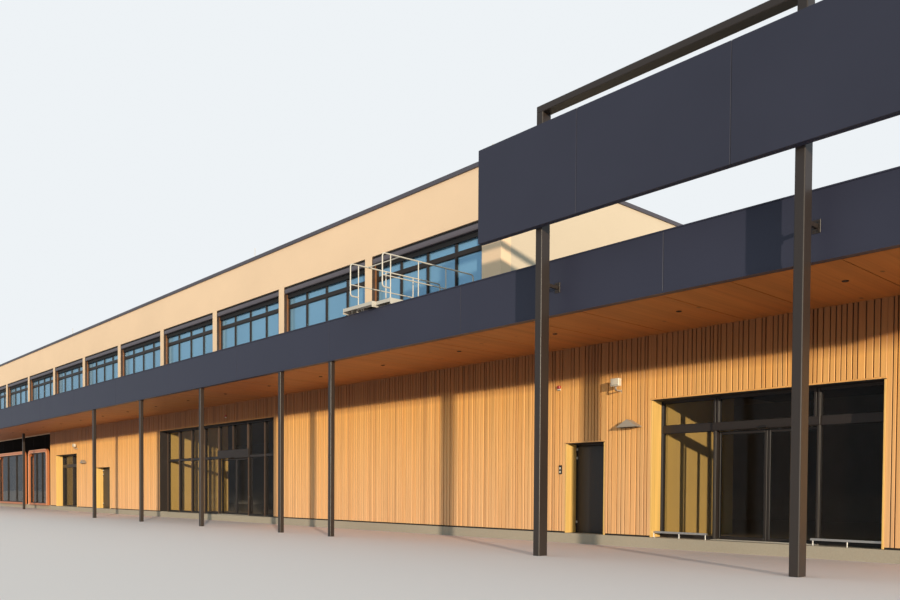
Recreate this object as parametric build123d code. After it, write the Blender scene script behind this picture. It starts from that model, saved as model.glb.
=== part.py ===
"""Supermarket building, a model at half the real size.

A long clad ground floor with a timber soffit canopy in front of it, an upper
storey with a band of windows, and a sign portal before the main entrance.

Millimetres, +Z up. While the pieces are made, x runs along the front from the
left end, y runs into the building from the face of the front cladding, and z
starts at the lowest ground that a post stands on. save() then moves every
piece, so that the origin is the middle of the building's box on the ground.
"""

import os

from build123d import *

# Overall length, depth and the grid of the upper storey
LENGTH = 35700.0
DEPTH = 8000.0
BAY = 2750.0
BAYS = 10
END_PIER = 275.0

# Heights of the storeys
FLOOR_LEVEL = 125.0
SOFFIT_LEVEL = 2470.0
FLOOR_THICKNESS = 200.0
SILL_ABOVE_FLOOR = 450.0
WINDOW_HEIGHT = 1325.0
ROOF_LEVEL = 4700.0
ROOF_THICKNESS = 200.0
PARAPET_TOP = 5160.0

# Walls of the ground floor
WALL_THICKNESS = 240.0
CLADDING_DEPTH = 15.0

# Openings of the front wall: widths, the wall lengths between them, and heads.
# The first three are counted from the left end, the other two from the right.
SHOP_END = 7840.0
WALL_BEFORE_WINDOW = 570.0
LEFT_WINDOW_WIDTH = 1990.0
WALL_BEFORE_SIDE_DOOR = 1610.0
SIDE_DOOR_WIDTH = 1095.0
WALL_BEFORE_LEFT_ENTRANCE = 3350.0
LEFT_ENTRANCE_WIDTH = 5395.0
SERVICE_DOOR_WIDTH = 622.0
WALL_AFTER_SERVICE_DOOR = 653.0
RIGHT_ENTRANCE_WIDTH = 2559.0
WALL_AFTER_RIGHT_ENTRANCE = 2714.0
ENTRANCE_HEAD = 1720.0
DOOR_HEAD = 1270.0

# Shop front at the left end, set back from the cladding
SHOP_SETBACK = 200.0
SHOP_OPENING_HEAD = 1890.0
SHOP_OPENINGS = ((860.0, 3400.0), (4940.0, 1950.0))
SHOP_FRAME_BAND = 100.0
SHOP_FRAME_DEPTH = 80.0
SHOP_FRAME_RADIUS = 210.0
SHOP_SILL = 60.0

# Frames and glass of the ground floor
FRAME_SETBACK = 180.0
FRAME_DEPTH = 60.0
FRAME_WIDTH = 35.0
GLASS_THICKNESS = 12.0
TRANSOM_LEVEL = 1335.0
TRANSOM_HEIGHT = 90.0
RIGHT_DOORS_WIDTH = 1150.0
LEFT_PANES = 8
LEFT_PANES_BEFORE_DOORS = 4

# Sliding leaves
LEAF_GAP = 8.0
LEAF_STILE = 30.0
LEAF_DEPTH = 25.0
LEAF_MEETING_GAP = 6.0
LEAF_BEHIND_FRAME = 14.0
TRACK_HEIGHT = 12.0
TRACK_DEPTH = 10.0
ROLLER_RADIUS = 12.0
RUNNING_GAP = 0.3
JOINT = 0.3

# Hinged leaves
DOOR_LEAF_DEPTH = 28.0
DOOR_FRAME_WIDTH = 30.0
DOOR_FRAME_DEPTH = 40.0
DOOR_GAP = 8.0
KNUCKLE_RADIUS = 7.0
KNUCKLE_HEIGHT = 30.0
HINGE_SHARES = (0.085, 0.82, 0.92)
HANDLE_LEVEL = 640.0
HANDLE_FROM_EDGE = 40.0
HANDLE_PLATE = (20.0, 4.0, 110.0)
HANDLE_NECK_UP = 20.0
HANDLE_BAR = 9.0
HANDLE_OUT = 32.0
HANDLE_LENGTH = 62.0

# Canopy
CANOPY_OVERHANG = 1622.0
CANOPY_DECK = 100.0
FASCIA_HEIGHT = 555.0
FASCIA_THICKNESS = 60.0
COLUMN_SIZE = 70.0
COLUMN_SHIFT = -195.0
COLUMN_BAYS = (6, 7, 8, 9)
HALF_BAY_COLUMN = 9.5
COLUMN_PLATE = 84.0
COLUMN_PLATE_THICKNESS = 12.0
DEEP_COLUMN_BEFORE_SHOP_END = 1090.0
DEEP_COLUMN_OUT = 500.0

# Sign portal
SIGN_POST_BEFORE_ENTRANCE = 73.0
SIGN_POST_SPACING = 2650.0
SIGN_POST_WIDTH = 82.0
SIGN_POST_DEPTH = 130.0
SIGN_POST_BEFORE_FASCIA = 303.0
SIGN_RAIL_TOP = 4487.0
SIGN_RAIL_HEIGHT = 68.0
SIGN_BOARD_BOTTOM = 3275.0
SIGN_BOARD_HEIGHT = 985.0
SIGN_BOARD_THICKNESS = 75.0
SIGN_BOARD_BEYOND = 754.0
CLEAT_LEVEL = 2735.0
CLEAT_HEIGHT = 34.0
CLEAT_WIDTH = 30.0
CLEAT_PLATE_WIDTH = 70.0
CLEAT_PLATE_HEIGHT = 105.0
CLEAT_PLATE_THICKNESS = 12.0

# Upper storey
UPPER_FORWARD = 80.0
UPPER_WALL = 200.0
PIER_WIDTH = 190.0
UPPER_FRAME_SETBACK = 90.0
UPPER_FRAME_DEPTH = 28.0
UPPER_FRAME_WIDTH = 32.0
UPPER_LIGHTS = 4
UPPER_TRANSOM_BELOW_HEAD = 353.0
UPPER_TRANSOM_HEIGHT = 64.0
BLIND_BOX_BELOW_HEAD = 40.0
BLIND_BOX_HEIGHT = 80.0
BLIND_BOX_DEPTH = 80.0
COPING_HEIGHT = 85.0
COPING_OVERHANG = 20.0
COPING_WIDTH = 260.0

# Parapet of the low roof on the right
LOW_PARAPET_HEIGHT = 300.0
LOW_PARAPET_THICKNESS = 120.0

# Escape platform and its guard rails on the canopy
PLATFORM_HEIGHT = 75.0
PLATFORM_DEPTH = 360.0
PLATFORM_BEYOND_FASCIA = 38.0
PLATFORM_BEYOND_RAIL = 20.0
STEP_WIDTH = 650.0
STEP_DEPTH = 250.0
STEP_BEYOND_FASCIA = 100.0
STEP_BEFORE_RAIL = 245.0
RAIL_FROM_CORNER = 420.0
RAIL_SPACING = 695.0
RAIL_TUBE = 20.0
RAIL_POST = 17.0
RAIL_BEND = 40.0
RAIL_TOP = 3650.0
RAIL_KNEE = 3375.0
RAIL_LOW = 3225.0
RAIL_LENGTH = 1575.0
RAIL_POSTS = (130.0, 590.0, 1070.0)
RAIL_BEYOND_FASCIA = 152.0
RAIL_CROSS_BACK = 285.0

# Fittings, placed from the edge of the opening that they belong to
LOBBY_WALL_FROM_JAMB = 18.0
LOBBY_WALL_THICKNESS = 45.0
LOBBY_WALL_LENGTH = 1500.0
LAMP_FROM_JAMB = 267.0
LAMP_BEFORE_SIDE_DOOR = 910.0
LAMP_LEVEL = 1410.0
LAMP_WIDTH = 290.0
LAMP_HEIGHT = 95.0
LAMP_OUT = 120.0
FLOODLIGHT_FROM_JAMB = 422.0
FLOODLIGHT_AFTER_WINDOW = 80.0
FLOODLIGHT_LEVEL = 1925.0
FLOODLIGHT_WIDTH = 120.0
FLOODLIGHT_DEPTH = 60.0
FLOODLIGHT_HEIGHT = 70.0
FLOODLIGHT_ARM = 130.0
FLOODLIGHT_DROP = 75.0
FLOODLIGHT_BAR = 16.0
ALARM_FROM_JAMB = 112.0
ALARM_LEVEL = 1945.0
ALARM_SIZE = (36.0, 30.0, 50.0)
SENSOR_ALONG_ENTRANCE = 3428.0
SENSOR_LEVEL = 2170.0
KEYPAD_FROM_JAMB = 82.0
KEYPAD_LEVEL = 875.0
KEYPAD_SIZE = (40.0, 22.0, 115.0)
KICK_RAIL_BACK = 40.0
KICK_RAIL_LEVEL = 178.0
KICK_RAIL_HEIGHT = 22.0
KICK_RAIL_DEPTH = 30.0
KICK_POST_RADIUS = 8.0
KICK_POST_INSET = 20.0
ROD_BAYS = (2.9, 7.2, 9.8)
ROD_RADIUS = 6.0
ROD_HEIGHT = 900.0
ROD_BACK = 450.0

# Places that follow from the sizes above
WALL_FACE = CLADDING_DEPTH
WALL_BACK = CLADDING_DEPTH + WALL_THICKNESS
UPPER_FLOOR_TOP = SOFFIT_LEVEL + FLOOR_THICKNESS
SILL_LEVEL = UPPER_FLOOR_TOP + SILL_ABOVE_FLOOR
WINDOW_HEAD = SILL_LEVEL + WINDOW_HEIGHT
UPPER_LENGTH = BAYS * BAY + 2 * END_PIER
UPPER_FRONT = -UPPER_FORWARD
UPPER_BACK = DEPTH - CLADDING_DEPTH
FRAME_FACE = WALL_FACE + FRAME_SETBACK
LEFT_WINDOW_LEFT = SHOP_END + WALL_BEFORE_WINDOW
SIDE_DOOR_LEFT = LEFT_WINDOW_LEFT + LEFT_WINDOW_WIDTH + WALL_BEFORE_SIDE_DOOR
LEFT_ENTRANCE_LEFT = SIDE_DOOR_LEFT + SIDE_DOOR_WIDTH + WALL_BEFORE_LEFT_ENTRANCE
RIGHT_ENTRANCE_LEFT = LENGTH - WALL_AFTER_RIGHT_ENTRANCE - RIGHT_ENTRANCE_WIDTH
SERVICE_DOOR_LEFT = RIGHT_ENTRANCE_LEFT - WALL_AFTER_SERVICE_DOOR - SERVICE_DOOR_WIDTH
RIGHT_DOORS_LEFT = RIGHT_ENTRANCE_LEFT + (RIGHT_ENTRANCE_WIDTH - RIGHT_DOORS_WIDTH) / 2
FASCIA_FACE = -CANOPY_OVERHANG
FASCIA_TOP = SOFFIT_LEVEL + FASCIA_HEIGHT
SIGN_POST_FACE = FASCIA_FACE - SIGN_POST_BEFORE_FASCIA
BOARD_FACE = SIGN_POST_FACE - SIGN_BOARD_THICKNESS
BOX_BACK = UPPER_BACK + COPING_OVERHANG
CENTRE = Vector(LENGTH / 2 - COPING_OVERHANG / 2, (BOARD_FACE + BOX_BACK) / 2, 0)


def block(x, y, z):
    """A box given by its two limits along each axis."""
    size = [limits[1] - limits[0] for limits in (x, y, z)]
    middle = [(limits[1] + limits[0]) / 2 for limits in (x, y, z)]
    return Pos(*middle) * Box(*size)


def axis_x(bay):
    """Place of a pier axis, counted in bays from the left end."""
    return END_PIER + bay * BAY


def save(name, *solids):
    """Write one node, moved to the building's own origin."""
    shape = solids[0] if len(solids) == 1 else Compound(children=list(solids))
    export_step(Pos(-CENTRE.X, -CENTRE.Y, 0) * shape, f"parts/{name}.step")


def front_openings():
    """Left edge, right edge and head of each opening in the clad front wall."""
    return (
        (LEFT_WINDOW_LEFT, LEFT_WINDOW_LEFT + LEFT_WINDOW_WIDTH, ENTRANCE_HEAD),
        (SIDE_DOOR_LEFT, SIDE_DOOR_LEFT + SIDE_DOOR_WIDTH, DOOR_HEAD),
        (LEFT_ENTRANCE_LEFT, LEFT_ENTRANCE_LEFT + LEFT_ENTRANCE_WIDTH, ENTRANCE_HEAD),
        (SERVICE_DOOR_LEFT, SERVICE_DOOR_LEFT + SERVICE_DOOR_WIDTH, DOOR_HEAD),
        (RIGHT_ENTRANCE_LEFT, RIGHT_ENTRANCE_LEFT + RIGHT_ENTRANCE_WIDTH, ENTRANCE_HEAD),
    )


def ground_floor():
    """Floor slab down to the lowest ground, and the clad walls on it."""
    wall_y = (WALL_FACE, WALL_BACK)
    left, right = CLADDING_DEPTH, LENGTH - CLADDING_DEPTH
    shop_y = SHOP_SETBACK + CLADDING_DEPTH
    slab = block((left, right), (WALL_FACE, UPPER_BACK), (0, FLOOR_LEVEL))
    save("ground_floor_slab", slab - block((left, SHOP_END), (WALL_FACE, shop_y), (0, FLOOR_LEVEL)))

    starts = [SHOP_END] + [opening[1] for opening in front_openings()]
    ends = [opening[0] for opening in front_openings()] + [right]
    save("front_wall", *[block((start, end), wall_y, (FLOOR_LEVEL, SOFFIT_LEVEL))
                         for start, end in zip(starts, ends)])
    lintels = [block((start, end), wall_y, (head, SOFFIT_LEVEL)) for start, end, head in front_openings()]
    save("front_wall_lintels", *lintels)

    rear_y = (UPPER_BACK - WALL_THICKNESS, UPPER_BACK)
    heights = (FLOOR_LEVEL, SOFFIT_LEVEL)
    save("rear_wall", block((left, right), rear_y, heights))
    save("end_walls", block((left, left + WALL_THICKNESS), (shop_y + WALL_THICKNESS, rear_y[0]), heights),
         block((right - WALL_THICKNESS, right), (WALL_BACK, rear_y[0]), heights))


def shop_front():
    """Dark wall with two framed windows, set back at the left end."""
    left = CLADDING_DEPTH
    face = SHOP_SETBACK + CLADDING_DEPTH
    wall_y = (face, face + WALL_THICKNESS)
    edges = [left]
    for start, width in SHOP_OPENINGS:
        edges += [start, start + width]
    edges.append(SHOP_END)
    piers = [block((edges[i], edges[i + 1]), wall_y, (FLOOR_LEVEL, SHOP_OPENING_HEAD)) for i in (0, 2, 4)]
    save("shop_wall", *piers)
    save("shop_frieze", block((left, SHOP_END), wall_y, (SHOP_OPENING_HEAD, SOFFIT_LEVEL)))

    frames = []
    for start, width in SHOP_OPENINGS:
        centre = start + width / 2
        outer_h = SHOP_OPENING_HEAD + SHOP_FRAME_BAND - FLOOR_LEVEL
        outer = Rectangle(width + 2 * SHOP_FRAME_BAND, outer_h)
        outer = fillet(outer.vertices().group_by(Axis.Y)[-1], SHOP_FRAME_RADIUS)
        inner_h = SHOP_OPENING_HEAD - FLOOR_LEVEL - SHOP_SILL
        inner = Pos(0, SHOP_SILL / 2 - SHOP_FRAME_BAND / 2) * Rectangle(width, inner_h)
        inner = fillet(inner.vertices().group_by(Axis.Y)[-1], SHOP_FRAME_RADIUS - SHOP_FRAME_BAND / 2)
        plane = Plane((centre, face, FLOOR_LEVEL + outer_h / 2), x_dir=(1, 0, 0), z_dir=(0, -1, 0))
        frames.append(extrude(plane * (outer - inner), SHOP_FRAME_DEPTH))
    save("shop_window_frames", *frames)
    return [block((start, start + width), (face, face + GLASS_THICKNESS), (FLOOR_LEVEL, SHOP_OPENING_HEAD))
            for start, width in SHOP_OPENINGS]


def upper_storey():
    """Floors, rendered walls with the window band, roof and coping."""
    upper_y = (UPPER_FRONT, UPPER_BACK)
    floor_z = (SOFFIT_LEVEL, UPPER_FLOOR_TOP)
    wall_top = PARAPET_TOP
    save("upper_floor", block((0, UPPER_LENGTH), upper_y, floor_z))
    save("low_roof", block((UPPER_LENGTH, LENGTH - CLADDING_DEPTH), upper_y, floor_z))

    walls_y = [(near, near + UPPER_WALL) for near in (UPPER_FRONT, UPPER_BACK - UPPER_WALL)]
    whole = (0, UPPER_LENGTH)
    save("upper_sill_walls", *[block(whole, y, (UPPER_FLOOR_TOP, SILL_LEVEL)) for y in walls_y])
    save("upper_head_walls", *[block(whole, y, (WINDOW_HEAD, wall_top)) for y in walls_y])
    corner = END_PIER + PIER_WIDTH / 2
    piers_x = [(0, corner)]
    piers_x += [(axis_x(bay) - PIER_WIDTH / 2, axis_x(bay) + PIER_WIDTH / 2) for bay in range(1, BAYS)]
    piers_x += [(UPPER_LENGTH - corner, UPPER_LENGTH)]
    save("upper_piers", *[block(x, y, (SILL_LEVEL, WINDOW_HEAD)) for y in walls_y for x in piers_x])

    inner_y = (UPPER_FRONT + UPPER_WALL, UPPER_BACK - UPPER_WALL)
    save("upper_gables", *[block(x, inner_y, (UPPER_FLOOR_TOP, wall_top))
                           for x in ((0, UPPER_WALL), (UPPER_LENGTH - UPPER_WALL, UPPER_LENGTH))])
    save("upper_roof", block((UPPER_WALL, UPPER_LENGTH - UPPER_WALL), inner_y,
                             (ROOF_LEVEL, ROOF_LEVEL + ROOF_THICKNESS)))
    coping_z = (wall_top, wall_top + COPING_HEIGHT)
    outer_x = (-COPING_OVERHANG, UPPER_LENGTH + COPING_OVERHANG)
    outer_y = (upper_y[0] - COPING_OVERHANG, upper_y[1] + COPING_OVERHANG)
    between = (outer_y[0] + COPING_WIDTH, outer_y[1] - COPING_WIDTH)
    save("long_copings", block(outer_x, (outer_y[0], between[0]), coping_z),
         block(outer_x, (between[1], outer_y[1]), coping_z))
    save("end_copings", block((outer_x[0], outer_x[0] + COPING_WIDTH), between, coping_z),
         block((outer_x[1] - COPING_WIDTH, outer_x[1]), between, coping_z))


def lattice(x, y, z, columns, rows, bar, row_bar, foot):
    """A window frame as one solid: a block with the lights cut out.

    columns and rows are the centre lines of its inner bars, row_bar is the
    height of the inner rows and foot that of the lowest bar.
    """
    frame = block(x, y, z)
    left_edges = [x[0] + bar] + [line + bar / 2 for line in columns]
    right_edges = [line - bar / 2 for line in columns] + [x[1] - bar]
    low_edges = [z[0] + foot] + [line + row_bar / 2 for line in rows]
    high_edges = [line - row_bar / 2 for line in rows] + [z[1] - bar]
    for left, right in zip(left_edges, right_edges):
        for low, high in zip(low_edges, high_edges):
            frame -= block((left, right), y, (low, high))
    return frame


def upper_windows():
    """Frames, glass and blind boxes of the window band, front and rear."""
    frames, panes, boxes = [], [], []
    box_top = WINDOW_HEAD - BLIND_BOX_BELOW_HEAD
    for side in ("front", "rear"):
        for bay in range(BAYS):
            left = axis_x(bay) + PIER_WIDTH / 2
            right = axis_x(bay + 1) - PIER_WIDTH / 2
            light = (right - left) / UPPER_LIGHTS
            columns = [left + light * i for i in range(1, UPPER_LIGHTS)]
            rows = [WINDOW_HEAD - UPPER_TRANSOM_BELOW_HEAD]
            if side == "front":
                face = UPPER_FRONT + UPPER_FRAME_SETBACK
                frame_y = (face, face + UPPER_FRAME_DEPTH)
                glass_y = (frame_y[1], frame_y[1] + GLASS_THICKNESS)
                box_y = (face - BLIND_BOX_DEPTH, face)
            else:
                face = UPPER_BACK - UPPER_FRAME_SETBACK
                frame_y = (face - UPPER_FRAME_DEPTH, face)
                glass_y = (frame_y[0] - GLASS_THICKNESS, frame_y[0])
                box_y = (face, face + BLIND_BOX_DEPTH)
            frames.append(lattice((left, right), frame_y, (SILL_LEVEL, WINDOW_HEAD), columns, rows,
                                  UPPER_FRAME_WIDTH, UPPER_TRANSOM_HEIGHT, UPPER_FRAME_WIDTH))
            panes.append(block((left, right), glass_y, (SILL_LEVEL, WINDOW_HEAD)))
            boxes.append(block((left, right), box_y, (box_top - BLIND_BOX_HEIGHT, box_top)))
    save("upper_window_frames", *frames)
    save("upper_glass", *panes)
    save("blind_boxes", *boxes)


def glazed_front(name, left, width, columns, door_span):
    """Frame of an entrance in three glazed units: one beside each end of the
    doorway and one over it. Returns its panes and the track behind the frame."""
    right = left + width
    frame_y = (FRAME_FACE, FRAME_FACE + FRAME_DEPTH)
    glass_front = FRAME_FACE + (FRAME_DEPTH - GLASS_THICKNESS) / 2
    glass_y = (glass_front, glass_front + GLASS_THICKNESS)
    transom = TRANSOM_LEVEL + TRANSOM_HEIGHT / 2
    door_x = (door_span[0] + FRAME_WIDTH / 2, door_span[1] - FRAME_WIDTH / 2)
    tall_z = (FLOOR_LEVEL, ENTRANCE_HEAD)
    units = (
        ((left, door_x[0]), tall_z, [x for x in columns if x < door_span[0]], [transom], FRAME_WIDTH),
        ((door_x[1], right), tall_z, [x for x in columns if x > door_span[1]], [transom], FRAME_WIDTH),
        ((door_x[0] + JOINT, door_x[1] - JOINT), (TRANSOM_LEVEL, ENTRANCE_HEAD),
         [x for x in columns if door_span[0] < x < door_span[1]], [], TRANSOM_HEIGHT),
    )
    frames, panes = [], []
    for unit_x, unit_z, inner_columns, rows, foot in units:
        frame = lattice(unit_x, frame_y, unit_z, inner_columns, rows, FRAME_WIDTH, TRANSOM_HEIGHT, foot)
        pane = block(unit_x, glass_y, unit_z)
        frames.append(frame)
        panes += (pane - frame).solids()
    save(f"{name}_frame", *frames)
    track_y = (frame_y[1], frame_y[1] + LEAF_BEHIND_FRAME + LEAF_DEPTH / 2 + TRACK_DEPTH / 2)
    half = (door_span[1] - door_span[0]) / 2
    track_x = (max(door_span[0] - half, left), min(door_span[1] + half, right))
    return panes, block(track_x, track_y, (TRANSOM_LEVEL, TRANSOM_LEVEL + TRACK_HEIGHT))


def sliding_leaf(name, closed_left, width):
    """One glazed leaf that hangs by two rollers on the track behind the frame."""
    front = FRAME_FACE + FRAME_DEPTH + LEAF_BEHIND_FRAME
    leaf_y = (front, front + LEAF_DEPTH)
    leaf_x = (closed_left, closed_left + width)
    leaf_z = (FLOOR_LEVEL + LEAF_GAP, TRANSOM_LEVEL - LEAF_GAP)
    inner_x = (leaf_x[0] + LEAF_STILE, leaf_x[1] - LEAF_STILE)
    inner_z = (leaf_z[0] + LEAF_STILE, leaf_z[1] - LEAF_STILE)
    frame = block(leaf_x, leaf_y, leaf_z) - block(inner_x, leaf_y, inner_z)

    middle = front + LEAF_DEPTH / 2
    track_back = middle + TRACK_DEPTH / 2
    roller_level = TRANSOM_LEVEL + TRACK_HEIGHT + RUNNING_GAP + ROLLER_RADIUS
    hanger_y = (track_back + LEAF_MEETING_GAP, leaf_y[1] + LEAF_GAP)
    for share in (0.2, 0.8):
        x = leaf_x[0] + share * width
        half = ROLLER_RADIUS / 2
        roller = Pos(x, middle, roller_level) * Cylinder(ROLLER_RADIUS, TRACK_DEPTH, rotation=(90, 0, 0))
        hanger = block((x - half, x + half), hanger_y, (inner_z[1], roller_level + half))
        axle = block((x - half / 2, x + half / 2), (middle, hanger_y[1]),
                     (roller_level - half / 2, roller_level + half / 2))
        frame += roller + hanger + axle

    pane = block((inner_x[0] + JOINT, inner_x[1] - JOINT),
                 (middle - GLASS_THICKNESS / 2, middle + GLASS_THICKNESS / 2),
                 (inner_z[0] + JOINT, inner_z[1] - JOINT))
    save(name, frame, pane)


def entrances():
    """The two glazed entrances, each with a pair of sliding leaves."""
    span = (RIGHT_DOORS_LEFT, RIGHT_DOORS_LEFT + RIGHT_DOORS_WIDTH)
    pane = LEFT_ENTRANCE_WIDTH / LEFT_PANES
    columns = [LEFT_ENTRANCE_LEFT + pane * i for i in range(1, LEFT_PANES)]
    doors_left = LEFT_ENTRANCE_LEFT + pane * LEFT_PANES_BEFORE_DOORS
    left_span = (doors_left, doors_left + 2 * pane)
    right_panes, right_track = glazed_front("right_entrance", RIGHT_ENTRANCE_LEFT, RIGHT_ENTRANCE_WIDTH,
                                            [span[0], sum(span) / 2, span[1]], span)
    left_panes, left_track = glazed_front("left_entrance", LEFT_ENTRANCE_LEFT, LEFT_ENTRANCE_WIDTH,
                                          columns, left_span)
    save("entrance_tracks", left_track, right_track)
    for name, (start, end) in (("right_entrance", span), ("left_entrance", left_span)):
        meeting = (start + end) / 2
        width = (end - start) / 2 - LEAF_MEETING_GAP / 2
        sliding_leaf(f"{name}_left_leaf", meeting - LEAF_MEETING_GAP / 2 - width, width)
        sliding_leaf(f"{name}_right_leaf", meeting + LEAF_MEETING_GAP / 2, width)
    return right_panes + left_panes


def left_window():
    """Fixed window left of the side door, two lights wide with a transom."""
    left = LEFT_WINDOW_LEFT
    right = left + LEFT_WINDOW_WIDTH
    frame_y = (FRAME_FACE, FRAME_FACE + FRAME_DEPTH)
    frame = lattice((left, right), frame_y, (FLOOR_LEVEL, ENTRANCE_HEAD), [(left + right) / 2],
                    [TRANSOM_LEVEL + TRANSOM_HEIGHT / 2], FRAME_WIDTH, TRANSOM_HEIGHT, FRAME_WIDTH)
    save("left_window_frame", frame)
    return [block((left, right), (frame_y[1], frame_y[1] + GLASS_THICKNESS), (FLOOR_LEVEL, ENTRANCE_HEAD))]


def door_frame(left, width):
    """Steel frame round a hinged door: two jambs and a head, in one piece."""
    right = left + width
    frame_y = (FRAME_FACE, FRAME_FACE + DOOR_FRAME_DEPTH)
    frame = block((left, right), frame_y, (FLOOR_LEVEL, DOOR_HEAD))
    return frame - block((left + DOOR_FRAME_WIDTH, right - DOOR_FRAME_WIDTH), frame_y,
                         (FLOOR_LEVEL, DOOR_HEAD - DOOR_FRAME_WIDTH))


def knuckle_levels():
    """Lower face of the frame's part of each of the three hinges."""
    height = DOOR_HEAD - DOOR_FRAME_WIDTH - FLOOR_LEVEL
    return [FLOOR_LEVEL + height * share for share in HINGE_SHARES]


def hinge_axis(jamb, side):
    """Place of the hinge line beside a jamb; side is 1 where the leaf lies at +x."""
    return jamb + side * DOOR_GAP / 2, FRAME_FACE - KNUCKLE_RADIUS


def hinged_leaf(jamb, side, width):
    """A flush leaf with its knuckles and lever handle, and the frame's knuckles."""
    x_hinge, y_hinge = hinge_axis(jamb, side)
    near = jamb + side * DOOR_GAP
    far = near + side * width
    leaf_x = (min(near, far), max(near, far))
    leaf_y = (FRAME_FACE, FRAME_FACE + DOOR_LEAF_DEPTH)
    leaf = block(leaf_x, leaf_y, (FLOOR_LEVEL + DOOR_GAP, DOOR_HEAD - DOOR_FRAME_WIDTH - DOOR_GAP))
    fixed = []
    for level in knuckle_levels():
        lower = Pos(x_hinge, y_hinge, level + KNUCKLE_HEIGHT / 2) * Cylinder(KNUCKLE_RADIUS, KNUCKLE_HEIGHT)
        wing_x = sorted((x_hinge, jamb - side * KNUCKLE_RADIUS * 1.5))
        lower += block(wing_x, (y_hinge, FRAME_FACE), (level, level + KNUCKLE_HEIGHT))
        fixed.append(lower)
        start = level + KNUCKLE_HEIGHT + RUNNING_GAP
        upper = Pos(x_hinge, y_hinge, start + KNUCKLE_HEIGHT / 2) * Cylinder(KNUCKLE_RADIUS, KNUCKLE_HEIGHT)
        wing_x = sorted((x_hinge, near + side * KNUCKLE_RADIUS * 1.5))
        upper += block(wing_x, (y_hinge, FRAME_FACE), (start, start + KNUCKLE_HEIGHT))
        leaf += upper
    return leaf, fixed, leaf_x


def lever_handle(x, side):
    """Back plate, neck and lever, on the outer face of a leaf."""
    face = FRAME_FACE - JOINT
    width, thickness, height = HANDLE_PLATE
    plate = block((x - width / 2, x + width / 2), (face - thickness, face),
                  (HANDLE_LEVEL - height / 2, HANDLE_LEVEL + height / 2))
    half = HANDLE_BAR / 2
    bar_z = (HANDLE_LEVEL + HANDLE_NECK_UP - half, HANDLE_LEVEL + HANDLE_NECK_UP + half)
    outer = face - HANDLE_OUT
    neck = block((x - half, x + half), (outer, face), bar_z)
    lever = block(sorted((x - side * half, x + side * HANDLE_LENGTH)), (outer, outer + HANDLE_BAR), bar_z)
    return plate + neck + lever


def hinged_doors():
    """Service door near the main entrance and the two-leaf side door."""
    left, width = SERVICE_DOOR_LEFT, SERVICE_DOOR_WIDTH
    clear = width - 2 * DOOR_FRAME_WIDTH - 2 * DOOR_GAP
    leaf, fixed, leaf_x = hinged_leaf(left + DOOR_FRAME_WIDTH, 1, clear)
    service_frame = sum(fixed, door_frame(left, width))
    save("service_door_leaf", leaf, lever_handle(leaf_x[1] - HANDLE_FROM_EDGE, -1))

    left, width = SIDE_DOOR_LEFT, SIDE_DOOR_WIDTH
    side_frame = door_frame(left, width)
    half = (width - 2 * DOOR_FRAME_WIDTH - 3 * DOOR_GAP) / 2
    right = left + width
    for name, jamb, side in (("left", left + DOOR_FRAME_WIDTH, 1), ("right", right - DOOR_FRAME_WIDTH, -1)):
        leaf, fixed, leaf_x = hinged_leaf(jamb, side, half)
        side_frame = sum(fixed, side_frame)
        save(f"side_door_{name}_leaf", leaf)
    save("door_frames", service_frame, side_frame)


def canopy():
    """Timber deck, dark fascia round it and the slim columns under its edge."""
    left, right = 0.0, LENGTH
    inner_x = (left + FASCIA_THICKNESS, right - FASCIA_THICKNESS)
    deck_top = SOFFIT_LEVEL + CANOPY_DECK
    fascia_z = (SOFFIT_LEVEL, FASCIA_TOP)
    inner_y = FASCIA_FACE + FASCIA_THICKNESS
    save("canopy_deck", block(inner_x, (inner_y, UPPER_FRONT), (SOFFIT_LEVEL, deck_top)))
    save("canopy_fascia", block((left, right), (FASCIA_FACE, inner_y), fascia_z))
    save("fascia_ends", block((left, inner_x[0]), (inner_y, UPPER_FRONT), fascia_z),
         block((inner_x[1], right), (inner_y, UPPER_FRONT), fascia_z))

    columns = [column(axis_x(bay) + COLUMN_SHIFT, FASCIA_FACE + COLUMN_PLATE / 2)
               for bay in COLUMN_BAYS + (HALF_BAY_COLUMN,)]
    save("canopy_columns", column(SHOP_END - DEEP_COLUMN_BEFORE_SHOP_END, -DEEP_COLUMN_OUT), *columns)


def column(x, y):
    """A square tube, modelled solid, with a plate at its head."""
    top = SOFFIT_LEVEL - COLUMN_PLATE_THICKNESS
    half, plate = COLUMN_SIZE / 2, COLUMN_PLATE / 2
    tube = block((x - half, x + half), (y - half, y + half), (0, top))
    return tube + block((x - plate, x + plate), (y - plate, y + plate), (top, SOFFIT_LEVEL))


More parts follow.
